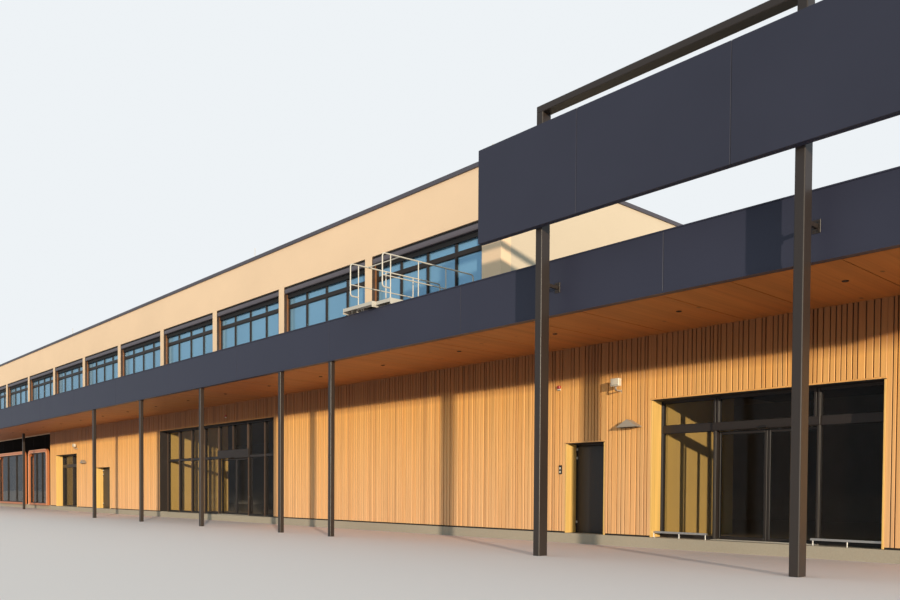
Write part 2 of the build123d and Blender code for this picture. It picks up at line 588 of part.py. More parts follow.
def sign_portal():
    """Two posts with a rail across their tops, carrying a long blank board."""
    first = RIGHT_ENTRANCE_LEFT - SIGN_POST_BEFORE_ENTRANCE
    lefts = (first, first + SIGN_POST_SPACING)
    post_y = (SIGN_POST_FACE, SIGN_POST_FACE + SIGN_POST_DEPTH)
    rail_bottom = SIGN_RAIL_TOP - SIGN_RAIL_HEIGHT
    save("sign_posts", *[block((left, left + SIGN_POST_WIDTH), post_y, (0, rail_bottom)) for left in lefts])
    far = lefts[1] + SIGN_POST_WIDTH
    save("sign_top_rail", block((lefts[0], far), post_y, (rail_bottom, SIGN_RAIL_TOP)))
    save("sign_board", block((lefts[0] - SIGN_BOARD_BEYOND, far + SIGN_BOARD_BEYOND),
                             (BOARD_FACE, SIGN_POST_FACE),
                             (SIGN_BOARD_BOTTOM, SIGN_BOARD_BOTTOM + SIGN_BOARD_HEIGHT)))
    cleats = []
    for left in lefts:
        middle = left + SIGN_POST_WIDTH / 2
        cleat = block((middle - CLEAT_WIDTH / 2, middle + CLEAT_WIDTH / 2),
                      (post_y[1], FASCIA_FACE - CLEAT_PLATE_THICKNESS),
                      (CLEAT_LEVEL - CLEAT_HEIGHT / 2, CLEAT_LEVEL + CLEAT_HEIGHT / 2))
        plate = block((middle - CLEAT_PLATE_WIDTH / 2, middle + CLEAT_PLATE_WIDTH / 2),
                      (FASCIA_FACE - CLEAT_PLATE_THICKNESS, FASCIA_FACE),
                      (CLEAT_LEVEL - CLEAT_PLATE_HEIGHT / 2, CLEAT_LEVEL + CLEAT_PLATE_HEIGHT / 2))
        cleats.append(cleat + plate)
    save("sign_brackets", *cleats)


def low_roof_parapet():
    """Low upstand round three sides of the one-storey roof on the right."""
    z = (UPPER_FLOOR_TOP, UPPER_FLOOR_TOP + LOW_PARAPET_HEIGHT)
    left, right = UPPER_LENGTH, LENGTH - CLADDING_DEPTH
    between = (WALL_FACE + LOW_PARAPET_THICKNESS, UPPER_BACK - LOW_PARAPET_THICKNESS)
    save("low_parapets", block((left, right), (WALL_FACE, between[0]), z),
         block((left, right), (between[1], UPPER_BACK), z))
    save("low_end_parapet", block((right - LOW_PARAPET_THICKNESS, right), between, z))


def guard_rail(x):
    """One side rail: a bent square tube, with its knee tube and posts fused to it."""
    front = FASCIA_FACE - RAIL_BEYOND_FASCIA
    back = front + RAIL_LENGTH
    deck_top = SOFFIT_LEVEL + CANOPY_DECK
    platform_top = FASCIA_TOP + PLATFORM_HEIGHT
    platform_back = FASCIA_FACE - PLATFORM_BEYOND_FASCIA + PLATFORM_DEPTH
    foot = front + RAIL_POSTS[0]
    path = FilletPolyline((x, back, deck_top), (x, back, RAIL_TOP), (x, front, RAIL_TOP),
                          (x, front, RAIL_LOW), (x, foot, RAIL_LOW), radius=RAIL_BEND)
    rail = sweep(Plane((x, back, deck_top)) * Rectangle(RAIL_TUBE, RAIL_TUBE), path=path)
    rail += Pos(x, (front + back) / 2, RAIL_KNEE) * Box(RAIL_POST, RAIL_LENGTH, RAIL_POST)
    for place in RAIL_POSTS:
        bottom = platform_top if front + place < platform_back else deck_top
        rail += Pos(x, front + place, (bottom + RAIL_TOP) / 2) * Box(RAIL_POST, RAIL_POST, RAIL_TOP - bottom)
    return rail


def escape_platform():
    """Platform on the canopy edge with a guard rail on each side, and a step
    that stands out before its left part."""
    z = (FASCIA_TOP, FASCIA_TOP + PLATFORM_HEIGHT)
    rail_right = UPPER_LENGTH - RAIL_FROM_CORNER
    rail_left = rail_right - RAIL_SPACING
    front = FASCIA_FACE - PLATFORM_BEYOND_FASCIA
    platform = block((rail_left - PLATFORM_BEYOND_RAIL, rail_right + PLATFORM_BEYOND_RAIL),
                     (front, front + PLATFORM_DEPTH), z)
    step_left = rail_left - STEP_BEFORE_RAIL
    step_front = FASCIA_FACE - STEP_BEYOND_FASCIA
    step = block((step_left, step_left + STEP_WIDTH), (step_front, step_front + STEP_DEPTH), z)
    save("roof_platform", platform + step)
    rails = [guard_rail(x) for x in (rail_left, rail_right)]
    bar = Box(RAIL_SPACING - RAIL_TUBE - 2 * JOINT, RAIL_POST, RAIL_POST)
    bar_y = FASCIA_FACE - RAIL_BEYOND_FASCIA + RAIL_CROSS_BACK
    bar = Pos(rail_right - RAIL_SPACING / 2, bar_y, RAIL_TOP) * bar
    save("guard_rails", *rails, bar)


def on_wall(x, size, level):
    """A box that stands out from the wall, by its middle, size and lower face."""
    width, out, height = size
    return block((x - width / 2, x + width / 2), (WALL_FACE - out, WALL_FACE), (level, level + height))


def floodlight(x):
    """Flat lamp head on an arm that stands out from the wall and turns up."""
    low = FLOODLIGHT_LEVEL - FLOODLIGHT_DROP
    arm = on_wall(x, (FLOODLIGHT_BAR, FLOODLIGHT_ARM, FLOODLIGHT_BAR), low)
    half = FLOODLIGHT_BAR / 2
    out = WALL_FACE - FLOODLIGHT_ARM
    stem = block((x - half, x + half), (out, out + FLOODLIGHT_BAR), (low, FLOODLIGHT_LEVEL))
    middle = out + half
    head = block((x - FLOODLIGHT_WIDTH / 2, x + FLOODLIGHT_WIDTH / 2),
                 (middle - FLOODLIGHT_DEPTH / 2, middle + FLOODLIGHT_DEPTH / 2),
                 (FLOODLIGHT_LEVEL, FLOODLIGHT_LEVEL + FLOODLIGHT_HEIGHT))
    return arm + stem + head


def wedge_lamp(x):
    """Wall lamp in the shape of a low roof."""
    profile = Polyline((-LAMP_WIDTH / 2, 0), (0, LAMP_HEIGHT), (LAMP_WIDTH / 2, 0), close=True)
    plane = Plane((x, WALL_FACE, LAMP_LEVEL), x_dir=(1, 0, 0), z_dir=(0, -1, 0))
    return extrude(plane * make_face(profile), LAMP_OUT)


def wall_fittings():
    """Lamps and floodlights by the openings, alarm and keypad by the service
    door, and a sensor over the left entrance."""
    window_right = LEFT_WINDOW_LEFT + LEFT_WINDOW_WIDTH
    lamps = [wedge_lamp(x) for x in (RIGHT_ENTRANCE_LEFT - LAMP_FROM_JAMB,
                                     SIDE_DOOR_LEFT - LAMP_BEFORE_SIDE_DOOR)]
    floodlights = [floodlight(x) for x in (RIGHT_ENTRANCE_LEFT - FLOODLIGHT_FROM_JAMB,
                                           window_right + FLOODLIGHT_AFTER_WINDOW)]
    alarm = on_wall(SERVICE_DOOR_LEFT - ALARM_FROM_JAMB, ALARM_SIZE, ALARM_LEVEL)
    keypad = on_wall(SERVICE_DOOR_LEFT - KEYPAD_FROM_JAMB, KEYPAD_SIZE, KEYPAD_LEVEL)
    sensor = on_wall(LEFT_ENTRANCE_LEFT + SENSOR_ALONG_ENTRANCE, ALARM_SIZE, SENSOR_LEVEL)
    save("wall_fittings", *lamps, *floodlights, alarm, keypad, sensor)


def kick_rails():
    """Low rails on short posts, before the panes beside the right entrance's doors."""
    middle = WALL_FACE + KICK_RAIL_BACK
    y = (middle - KICK_RAIL_DEPTH / 2, middle + KICK_RAIL_DEPTH / 2)
    rails = []
    for start, end in ((RIGHT_ENTRANCE_LEFT, RIGHT_DOORS_LEFT),
                       (RIGHT_DOORS_LEFT + RIGHT_DOORS_WIDTH, RIGHT_ENTRANCE_LEFT + RIGHT_ENTRANCE_WIDTH)):
        rail = block((start, end), y, (KICK_RAIL_LEVEL, KICK_RAIL_LEVEL + KICK_RAIL_HEIGHT))
        for x in (start + KICK_POST_INSET, (start + end) / 2, end - KICK_POST_INSET):
            post = Cylinder(KICK_POST_RADIUS, KICK_RAIL_LEVEL - FLOOR_LEVEL)
            rail += Pos(x, middle, (FLOOR_LEVEL + KICK_RAIL_LEVEL) / 2) * post
        rails.append(rail)
    save("kick_rails", *rails)


def fittings():
    """The wall seen inside the entrance, small pieces on the walls, and rods."""
    wall_x = RIGHT_ENTRANCE_LEFT + LOBBY_WALL_FROM_JAMB
    save("lobby_wall", block((wall_x, wall_x + LOBBY_WALL_THICKNESS),
                             (WALL_BACK, WALL_BACK + LOBBY_WALL_LENGTH), (FLOOR_LEVEL, SOFFIT_LEVEL)))
    wall_fittings()
    kick_rails()
    roof_top = ROOF_LEVEL + ROOF_THICKNESS
    rods = [Pos(axis_x(bay), UPPER_FRONT + UPPER_WALL + ROD_BACK, roof_top + ROD_HEIGHT / 2)
            * Cylinder(ROD_RADIUS, ROD_HEIGHT) for bay in ROD_BAYS]
    save("lightning_rods", *rods)


def main():
    os.makedirs("parts", exist_ok=True)
    ground_floor()
    panes = shop_front() + entrances() + left_window()
    save("ground_floor_glass", *panes)
    upper_storey()
    upper_windows()
    hinged_doors()
    canopy()
    sign_portal()
    low_roof_parapet()
    escape_platform()
    fittings()


main()
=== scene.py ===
"""Looks of the supermarket building, a model at half the real size.

Laid out as an add-on: sizes and colours are scene properties, each piece or
group of like pieces is one operator, and main() runs the operators in order.
Lengths are metres of the model.
"""

import math

import bmesh
import bpy
from bpy.props import FloatProperty, FloatVectorProperty, IntProperty, PointerProperty
from mathutils import Matrix, Vector


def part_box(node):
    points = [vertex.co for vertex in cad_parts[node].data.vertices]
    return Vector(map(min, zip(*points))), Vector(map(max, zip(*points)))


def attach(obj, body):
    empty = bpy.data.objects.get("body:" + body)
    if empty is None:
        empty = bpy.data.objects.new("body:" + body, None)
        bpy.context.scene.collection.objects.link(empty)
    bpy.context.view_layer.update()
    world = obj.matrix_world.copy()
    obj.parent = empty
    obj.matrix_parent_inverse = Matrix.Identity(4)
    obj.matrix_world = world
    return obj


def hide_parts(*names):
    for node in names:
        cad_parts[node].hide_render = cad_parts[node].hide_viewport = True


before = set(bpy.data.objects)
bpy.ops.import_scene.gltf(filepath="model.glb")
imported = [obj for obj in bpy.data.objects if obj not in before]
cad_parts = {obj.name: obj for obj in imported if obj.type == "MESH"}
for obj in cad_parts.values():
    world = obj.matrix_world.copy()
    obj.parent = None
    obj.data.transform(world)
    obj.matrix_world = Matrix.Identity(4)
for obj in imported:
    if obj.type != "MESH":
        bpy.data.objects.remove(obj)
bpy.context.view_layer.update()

bl_info = {
    "name": "Supermarket building",
    "version": (1, 0, 0),
    "blender": (4, 5, 0),
    "location": "3D View > Sidebar > Supermarket",
    "description": "Cladding, window band, canopy, sign portal and finishes of a supermarket building",
    "category": "Add Mesh",
}

BUILDING = "building"
# Usual bevel of an edge, and that of a thin part's edge.
ARRIS, FINE = 0.002, 0.001


def linear(hex_colour):
    """sRGB hex to the linear values that shaders expect."""
    channels = [int(hex_colour[i:i + 2], 16) / 255 for i in (1, 3, 5)]
    return [c / 12.92 if c <= 0.04045 else ((c + 0.055) / 1.055) ** 2.4 for c in channels]


def colour_property(name, hex_colour, description):
    return FloatVectorProperty(name=name, description=description, subtype="COLOR", size=3,
                               min=0, max=1, default=linear(hex_colour))


def length_property(name, default, description):
    return FloatProperty(name=name, description=description, default=default, min=0, unit="LENGTH",
                         precision=4)


def number_property(name, default, description):
    return FloatProperty(name=name, description=description, default=default, min=0)


class FinishSettings(bpy.types.PropertyGroup):
    """Colours of the building's finishes."""
    batten: colour_property("Battens", "#e6b06c", "Oiled larch battens of the ground floor")
    lining: colour_property("Linings", "#dfb467", "Planed boards that line the openings")
    soffit: colour_property("Soffit", "#a8642a", "Laminated timber panels under the canopy")
    render: colour_property("Render", "#e4c3a3", "Fine mineral render of the upper storey")
    fascia: colour_property("Fascia", "#303141", "Coated metal of the canopy's edge")
    sign: colour_property("Sign board", "#2e2f3e", "Coated metal of the sign board")
    steel: colour_property("Dark steel", "#2e2622", "Painted columns and sign posts")
    window: colour_property("Windows", "#2b2523", "Coated aluminium of the window frames")
    shutter: colour_property("Shutter boxes", "#625b62", "Aluminium boxes over the upper windows")
    coping: colour_property("Copings", "#57535c", "Folded metal on top of the walls")
    upper_pane: colour_property("Upper panes", "#8bbadb", "Blue-grey solar glass of the upper storey")
    lower_pane: colour_property("Lower panes", "#1d1712", "Dark glass of the ground floor")


class CladdingSettings(bpy.types.PropertyGroup):
    """Sizes of the vertical battens and of the boards round the openings."""
    width: length_property("Batten width", 0.048, "Mean width of a batten")
    depth: length_property("Batten depth", 0.015, "Mean depth of a batten")
    spread: number_property("Width spread", 0.45, "How far widths stray from the mean")
    relief: number_property("Relief", 0.22, "How far depths stray from the mean")
    gap: length_property("Gap", 0.010, "Open joint between two battens")
    foot: length_property("Foot gap", 0.022, "Clear height between the floor and a batten's foot")
    lining: length_property("Lining thickness", 0.018, "Thickness of the boards that line an opening")
    seed: IntProperty(name="Seed", description="Seed of the random widths", default=4)


class CanopySettings(bpy.types.PropertyGroup):
    """Panels and lights of the canopy."""
    light_step: length_property("Light spacing", 1.625, "Distance between two downlights")
    light_radius: length_property("Light radius", 0.028, "Outer radius of a downlight's ring")
    fascia_panel: length_property("Fascia panel", 2.72, "Length of one fascia panel")
    joint: length_property("Joint", 0.005, "Width of an open joint between fascia panels")
    soffit_joint: length_property("Soffit joint", 0.009, "Width of an open joint between soffit panels")


class EntranceSettings(bpy.types.PropertyGroup):
    """Glazed entrances."""
    tall_head: length_property("Tall head", 2.072, "Head of the left entrance, over its high upper lights")
    transom: length_property("Slim transom", 0.050, "Height of the left entrance's transom")
    cap: length_property("Cap width", 0.024, "Width of the cover strips on the mullions")
    cap_depth: length_property("Cap depth", 0.012, "How far the cover strips stand out")
    casing: length_property("Casing", 0.006, "Thickness of the sheet that lines the left entrance")


class WindowSettings(bpy.types.PropertyGroup):
    """Pieces of the upper window band."""
    slat: length_property("Lowest slat", 0.075, "Height of the rolled-up shutter seen under its box")
    reveal: length_property("Reveal depth", 0.058, "Depth of the brown reveal before the guide rail")
    guide: length_property("Guide width", 0.014, "Width of the shutters' guide rails")
    bead: length_property("Bead width", 0.008, "Width of the beads round the panes")
    coping: length_property("Coping face", 0.062, "Height of the coping's folded face")


class StageSettings(bpy.types.PropertyGroup):
    """Floor and light."""
    floor: colour_property("Floor", "#d9c8c5", "Plain floor under the building")
    sun: number_property("Sun", 4.3, "Strength of the soft key light")
    sky: number_property("Sky", 1.15, "Strength of the light from above")
    haze: number_property("Haze", 0.10, "Strength of the light from near the horizon")
    gleam: number_property("Gleam", 0.5, "Brightness of the sky in reflections")


# Node trees and materials


def feed(tree, node, **inputs):
    """Give a node's inputs, by name or as i and a number, their values or links."""
    for name, value in inputs.items():
        socket = node.inputs[int(name[1:]) if name[1:].isdigit() else name.replace("_", " ")]
        if isinstance(value, bpy.types.NodeSocket):
            tree.links.new(value, socket)
        else:
            socket.default_value = value
    return node


def add_node(tree, kind, settings=(), **inputs):
    """One node with its settings and its input values or links."""
    node = tree.nodes.new(kind)
    for name, value in dict(settings).items():
        setattr(node, name, value)
    return feed(tree, node, **inputs)


def ramp(tree, factor, stops):
    """Colour ramp from (place, linear colour or grey) stops."""
    node = add_node(tree, "ShaderNodeValToRGB", i0=factor)
    elements = node.color_ramp.elements
    while len(elements) < len(stops):
        elements.new(0.5)
    for element, (place, colour) in zip(elements, stops):
        element.position = place
        element.color = (colour, colour, colour, 1) if isinstance(colour, (int, float)) else (*colour, 1)
    return node.outputs["Color"]


def shade(colour, factor):
    """A darker or lighter version of a colour."""
    return [min(1.0, channel * factor) for channel in colour]


def drift(tree, factor, colour, low, high, start=0.3, end=0.7):
    """A colour that drifts between two shares of its brightness."""
    return ramp(tree, factor, [(start, shade(colour, low)), (end, shade(colour, high))])


def material(name):
    """An empty material: its tree, its principled shader and its Object coordinates."""
    made = bpy.data.materials.new(name)
    made.use_nodes = True
    tree = made.node_tree
    tree.nodes.clear()
    shader = add_node(tree, "ShaderNodeBsdfPrincipled")
    add_node(tree, "ShaderNodeOutputMaterial", Surface=shader.outputs["BSDF"])
    return made, tree, shader, add_node(tree, "ShaderNodeTexCoord").outputs["Object"]


def stretched(tree, place, scale):
    """Object coordinates scaled along each axis, or along all three alike."""
    scale = scale if isinstance(scale, (tuple, list)) else (scale, scale, scale)
    return add_node(tree, "ShaderNodeMapping", Vector=place, Scale=scale).outputs[0]


def noise(tree, place, scale, detail=3.0, roughness=0.5):
    """Noise with so many cells a metre."""
    return add_node(tree, "ShaderNodeTexNoise", Vector=stretched(tree, place, scale), Scale=1.0,
                    Detail=detail, Roughness=roughness).outputs[0]


def math_node(tree, operation, first, second=0.0):
    return add_node(tree, "ShaderNodeMath", {"operation": operation}, i0=first, i1=second).outputs[0]


def axes(tree, vector):
    """The three coordinates of a vector."""
    return add_node(tree, "ShaderNodeSeparateXYZ", Vector=vector).outputs


def bump(tree, height, shader, distance, strength=1.0):
    node = add_node(tree, "ShaderNodeBump", Strength=strength, Distance=distance, Height=height)
    feed(tree, shader, Normal=node.outputs[0])


def mixed(tree, factor, first, second, blend="MIX"):
    """Two colours mixed; either one is a socket or three linear values."""
    pair = [value if isinstance(value, bpy.types.NodeSocket) else (*value, 1) for value in (first, second)]
    return add_node(tree, "ShaderNodeMix", {"data_type": "RGBA", "blend_type": blend}, i0=factor,
                    i6=pair[0], i7=pair[1]).outputs[2]


def wood(name, colour, grain_axis, roughness=0.55, knots=0.0, tone=True, lamella=0.0, sheltered=None):
    """Planed softwood: long grain, board-to-board tone and fine pores.

    A board with no drawn tone of its own keeps the plain colour. lamella is the width of glued lamellas.
    Up to most of the sheltered height weather has bleached the wood, and above that the canopy has kept
    its darker oil.
    """
    made, tree, shader, place = material(name)
    x, _, z = axes(tree, place)
    if tone:
        board = add_node(tree, "ShaderNodeAttribute", {"attribute_name": "tone"}).outputs["Fac"]
        # Far enough for each board to be cut from another place of the grain.
        shift = math_node(tree, "MULTIPLY", board, 37.0)
        offset = add_node(tree, "ShaderNodeCombineXYZ", i0=shift, i1=shift, i2=shift).outputs[0]
        place = add_node(tree, "ShaderNodeVectorMath", {"operation": "ADD"}, i0=place, i1=offset).outputs[0]
    # Growth rings of 1 mm would not show: they are drawn 18 mm wide, within bands 70 mm wide.
    fine, wide = [55.0] * 3, [14.0] * 3
    fine[grain_axis], wide[grain_axis] = 0.9, 0.35
    grain = noise(tree, place, fine, 4, 0.6)
    bands = noise(tree, place, wide, 2)
    blend = math_node(tree, "ADD", math_node(tree, "MULTIPLY", grain, 0.55),
                      math_node(tree, "MULTIPLY", bands, 0.45))
    base = ramp(tree, blend, [(at, shade(colour, share)) for at, share in
                              ((0.30, 0.72), (0.48, 0.95), (0.62, 1.06), (0.78, 0.86))])
    factors = []
    if tone:
        factors.append(ramp(tree, board, [(0.0, 1), (0.01, 1), (0.02, (0.78, 0.73, 0.68)),
                                          (0.35, (0.96, 0.95, 0.94)), (0.75, 1), (1.0, (1.0, 0.94, 0.85))]))
    if lamella:
        strip = math_node(tree, "FLOOR", math_node(tree, "DIVIDE", x, lamella))
        lot = add_node(tree, "ShaderNodeTexWhiteNoise", {"noise_dimensions": "1D"}, W=strip).outputs[0]
        factors.append(ramp(tree, lot, [(0.0, (0.86, 0.84, 0.80)), (0.5, 1), (1.0, (0.95, 0.90, 0.85))]))
    for factor in factors:
        base = mixed(tree, 1.0, base, factor, "MULTIPLY")
    if knots:
        # One knot to about 220 mm across the grain and 420 mm along it.
        cells = add_node(tree, "ShaderNodeTexVoronoi", Vector=stretched(tree, place, (4.5, 2.4, 4.5)),
                         Scale=1.0, Randomness=1.0).outputs["Distance"]
        spots = ramp(tree, cells, [(0.0, 1), (knots, 1), (knots * 1.8, 0)])
        base = mixed(tree, spots, base, shade(colour, 0.35))
    if sheltered:
        height = math_node(tree, "DIVIDE", z, sheltered)
        bleach = ramp(tree, height, [(0.0, (0.97, 1.0, 1.40)), (0.78, (1.0, 0.95, 0.80)),
                                     (0.85, (0.40, 0.28, 0.18)), (1.0, (0.31, 0.20, 0.13))])
        base = mixed(tree, 1.0, base, bleach, "MULTIPLY")
    feed(tree, shader, Base_Color=base, Roughness=roughness)
    bump(tree, grain, shader, 0.0008)
    return made


def coated_metal(name, colour, roughness=0.42, metallic=0.0, mottle=0.06, gloss=0.5):
    """A coated, plated, cast or moulded surface: faint clouding and a slight orange peel.

    Real peel of 1 mm would not show, so it is drawn 6 mm wide.
    """
    made, tree, shader, place = material(name)
    clouds = noise(tree, place, 0.9, 4, 0.55)
    rough = add_node(tree, "ShaderNodeMapRange", Value=clouds, To_Min=roughness - 0.05,
                     To_Max=roughness + 0.08)
    feed(tree, shader, Base_Color=drift(tree, clouds, colour, 1 - mottle, 1 + mottle),
         Roughness=rough.outputs[0], Metallic=metallic, Specular_IOR_Level=gloss)
    bump(tree, noise(tree, place, 160, 1), shader, 0.0003, 0.5)
    return made


def mineral(name, colour, grain=90.0, depth=0.0012, mottle=0.05):
    """Mineral surface: fine grain and soft clouds, for render, plaster and concrete.

    Grit of 1 mm would not show: there are so many grains a metre, 8 to 17 mm wide.
    """
    made, tree, shader, place = material(name)
    clouds = noise(tree, place, (0.45, 0.45, 0.7), 5, 0.6)
    grains = noise(tree, place, grain, 3, 0.7)
    base = drift(tree, clouds, colour, 1 - mottle, 1 + mottle * 0.6)
    speckle = ramp(tree, grains, [(0.35, 0.93), (0.6, 1)])
    feed(tree, shader, Base_Color=mixed(tree, 1.0, base, speckle, "MULTIPLY"), Roughness=0.9)
    bump(tree, grains, shader, depth)
    return made


def split_by_depth(name, outer, inner, face, outside):
    """A wall's material: one look outside a plane across the Y axis, another inside it."""
    made, tree, shader, place = material(name)
    is_outer = math_node(tree, outside, axes(tree, place)[1], face)
    tint = ramp(tree, noise(tree, place, 3.0, 4), [(0.3, 0.86), (0.7, 1)])
    base = mixed(tree, 1.0, mixed(tree, is_outer, inner, outer), tint, "MULTIPLY")
    feed(tree, shader, Base_Color=base, Roughness=0.85)
    # A trowel's marks, 14 mm wide.
    bump(tree, noise(tree, place, 70), shader, 0.0008)
    return made


def pane(name, colour, cover, metallic=0.0):
    """Coated insulating glass: a tint that covers a share of what is behind it, and waves 0.8 m long."""
    made, tree, shader, place = material(name)
    clouds = noise(tree, place, (0.5, 0.5, 0.35))
    feed(tree, shader, Base_Color=drift(tree, clouds, colour, 0.92, 1.08), Roughness=0.04, IOR=1.45,
         Alpha=cover, Metallic=metallic)
    bump(tree, noise(tree, place, 1.2, 1), shader, 0.0015, 0.3)
    return made


def sheeted_roof(name, colour):
    """Bitumen sheets, half a metre wide, with darker laps and mineral chippings drawn 7 mm wide."""
    made, tree, shader, place = material(name)
    lap = math_node(tree, "FRACT", math_node(tree, "MULTIPLY", axes(tree, place)[0], 2.0))
    line = math_node(tree, "LESS_THAN", lap, 0.03)
    chips = noise(tree, place, 140, 2)
    base = mixed(tree, line, drift(tree, chips, colour, 0.7, 1.15, 0.35, 0.65), shade(colour, 0.45))
    feed(tree, shader, Base_Color=base, Roughness=0.95)
    bump(tree, chips, shader, 0.0015)
    return made


FINISHES = {}


def make_finishes():
    """All materials, from the colours in the settings."""
    colours = bpy.context.scene.shop_finishes
    gable = [channel * share for channel, share in zip(colours.render, (0.73, 0.84, 0.95))]
    plaster, membrane = linear("#b9b2a8"), linear("#1c1a18")
    front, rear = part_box("front_wall")[0].y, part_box("rear_wall")[1].y
    # How far a wall's outer look reaches into it.
    skin = 0.002
    FINISHES.update({
        # Honey battens with a long, tight grain: each one shows its own tone.
        "batten": wood("oiled_larch_battens", colours.batten, 2, sheltered=2.5),
        # Smoother and yellower than the battens, so the reveals glow.
        "lining": wood("planed_spruce_linings", colours.lining, 2, roughness=0.5, tone=False),
        # Warm brown boards whose lamellas run across the canopy, with a few knots.
        "soffit": wood("laminated_spruce_soffit", colours.soffit, 1, knots=0.055, tone=False, lamella=0.09),
        # Bronze-brown boards in the reveals of the upper windows.
        "reveal": wood("stained_larch_reveals", linear("#3b2a20"), 2, tone=False),
        # A soft, even cream with the finest grain.
        "render": mineral("fine_mineral_render", colours.render, grain=120.0, depth=0.0008),
        # The same render on the gables, whiter and less bright where it takes the full sun.
        "gable": mineral("fine_mineral_render_gable", gable, grain=120.0, depth=0.0008),
        # Dull anthracite with a hint of blue.
        "fascia": coated_metal("powder_coated_fascia_sheet", colours.fascia, gloss=0.28),
        # Flatter and darker than the fascia.
        "sign": coated_metal("satin_coated_sign_panel", colours.sign, 0.5, gloss=0.28),
        # Near-black steel with soft highlights along its arrises.
        "steel": coated_metal("painted_steel_sections", colours.steel, 0.36),
        # Smooth dark frames.
        "window": coated_metal("powder_coated_aluminium_frames", colours.window, gloss=0.3),
        # Grey boxes, a little shinier.
        "shutter": coated_metal("anodised_shutter_boxes", colours.shutter, 0.4, metallic=0.25),
        # Weathered grey sheet.
        "coping": coated_metal("folded_zinc_coping", colours.coping, 0.5, metallic=0.35, mottle=0.1),
        # Black gap behind and under the battens.
        "dark": coated_metal("black_shadow_trim", linear("#121114"), 0.7),
        # Pale tubes with a dull zinc bloom.
        "zinc": coated_metal("hot_dip_galvanised_steel", linear("#bdb5aa"), 0.45, metallic=0.15, mottle=0.1),
        # Bright bars with a soft sheen.
        "steel_pale": coated_metal("brushed_stainless_steel", linear("#b9b7b4"), 0.3, metallic=0.8),
        # Slab with a slightly uneven, open surface.
        "concrete": mineral("cast_concrete_slab", linear("#a39888"), grain=60.0, mottle=0.1),
        # Dull pale walls of the rooms.
        "plaster": mineral("interior_plaster", linear("#cfc8bd"), grain=80.0),
        # Yellow-cream walls behind the entrances' left panes, which glow where the sun gets in.
        "lobby": mineral("cream_lobby_plaster", linear("#e6bd6c"), grain=80.0),
        # Grey chippings with dark laps.
        "roof": sheeted_roof("bitumen_roof_sheets", linear("#6c6a66")),
        # Matt panels that stay black in the recess.
        "shop": coated_metal("dark_shop_panels", linear("#100b09"), 0.7, gloss=0.01),
        # Orange-brown frames with a metal's sheen.
        "shop_frame": coated_metal("copper_toned_shop_frame", linear("#c4764a"), 0.35, metallic=0.2),
        # The folded lips of those frames, paler where the coating is worn bright.
        "shop_lip": coated_metal("bright_copper_lips", linear("#eeb184"), 0.35),
        # Charcoal leaves, as smooth as the frames.
        "door": coated_metal("painted_steel_door", linear("#1f1d1f")),
        # Cream housings, slightly soiled.
        "plastic": coated_metal("moulded_fitting_housing", linear("#cdc3b0"), 0.4),
        # Clear red with a shine.
        "red": coated_metal("moulded_red_lens", linear("#a3241c"), 0.3),
        # Blue and almost opaque, as sky-coated glass looks from below.
        "upper_pane": pane("blue_solar_glass", colours.upper_pane, 0.85, metallic=0.5),
        # Brown-black, but what stands close behind it still shows.
        "lower_pane": pane("dark_entrance_glass", colours.lower_pane, 0.22),
        # The same glass before unlit rooms: almost closed.
        "shop_pane": pane("dark_shop_glass", colours.lower_pane, 0.7),
        # Frosted lens, dark while the lamp is off.
        "lens": coated_metal("frosted_downlight_lens", linear("#1b1613"), 0.25),
        # Bronze-coloured rails, bright where the sun gets in.
        "guide": coated_metal("bronze_anodised_guides", linear("#7a4d2a"), 0.4),
        # Brown cover strips that catch the light on the dark frames.
        "cap": coated_metal("bronze_anodised_caps", linear("#4f3a2a"), 0.4),
        # Weathered grey-brown lamp housings.
        "lamp": coated_metal("cast_lamp_housing", linear("#9b9083"), 0.5),
        # Black membrane behind the battens, plaster towards the rooms.
        "front_wall": split_by_depth("membrane_and_plaster_front", membrane, plaster, front + skin,
                                     "LESS_THAN"),
        "rear_wall": split_by_depth("membrane_and_plaster_rear", membrane, plaster, rear - skin,
                                    "GREATER_THAN"),
    })


# Shapes


def around(middle, reach):
    """A stretch that reaches equally far to both sides of its middle."""
    return middle - reach, middle + reach


def inset(stretch, by):
    """A stretch made shorter at both ends."""
    return stretch[0] + by, stretch[1] - by


def ends(stretch, width):
    """The two strips of one width at the ends of a stretch."""
    return (stretch[0], stretch[0] + width), (stretch[1] - width, stretch[1])


def circle(centre, radius, sides):
    turns = [2 * math.pi * i / sides for i in range(sides)]
    return [(centre[0] + radius * math.cos(turn), centre[1] + radius * math.sin(turn)) for turn in turns]


def solids(node):
    """Lowest and highest corners of a node's solids, by depth, then from left to right and upwards."""
    shape = bmesh.new()
    shape.from_mesh(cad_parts[node].data)
    bmesh.ops.remove_doubles(shape, verts=shape.verts, dist=1e-5)
    left = set(shape.verts)
    boxes = []
    while left:
        stack, points = [left.pop()], []
        while stack:
            vertex = stack.pop()
            points.append(vertex.co.copy())
            for edge in vertex.link_edges:
                other = edge.other_vert(vertex)
                if other in left:
                    left.remove(other)
                    stack.append(other)
        boxes.append(tuple(Vector(limit(point[i] for point in points) for i in range(3))
                           for limit in (min, max)))
    shape.free()
    return sorted(boxes, key=lambda box: [round(box[0][axis], 3) for axis in (1, 0, 2)])


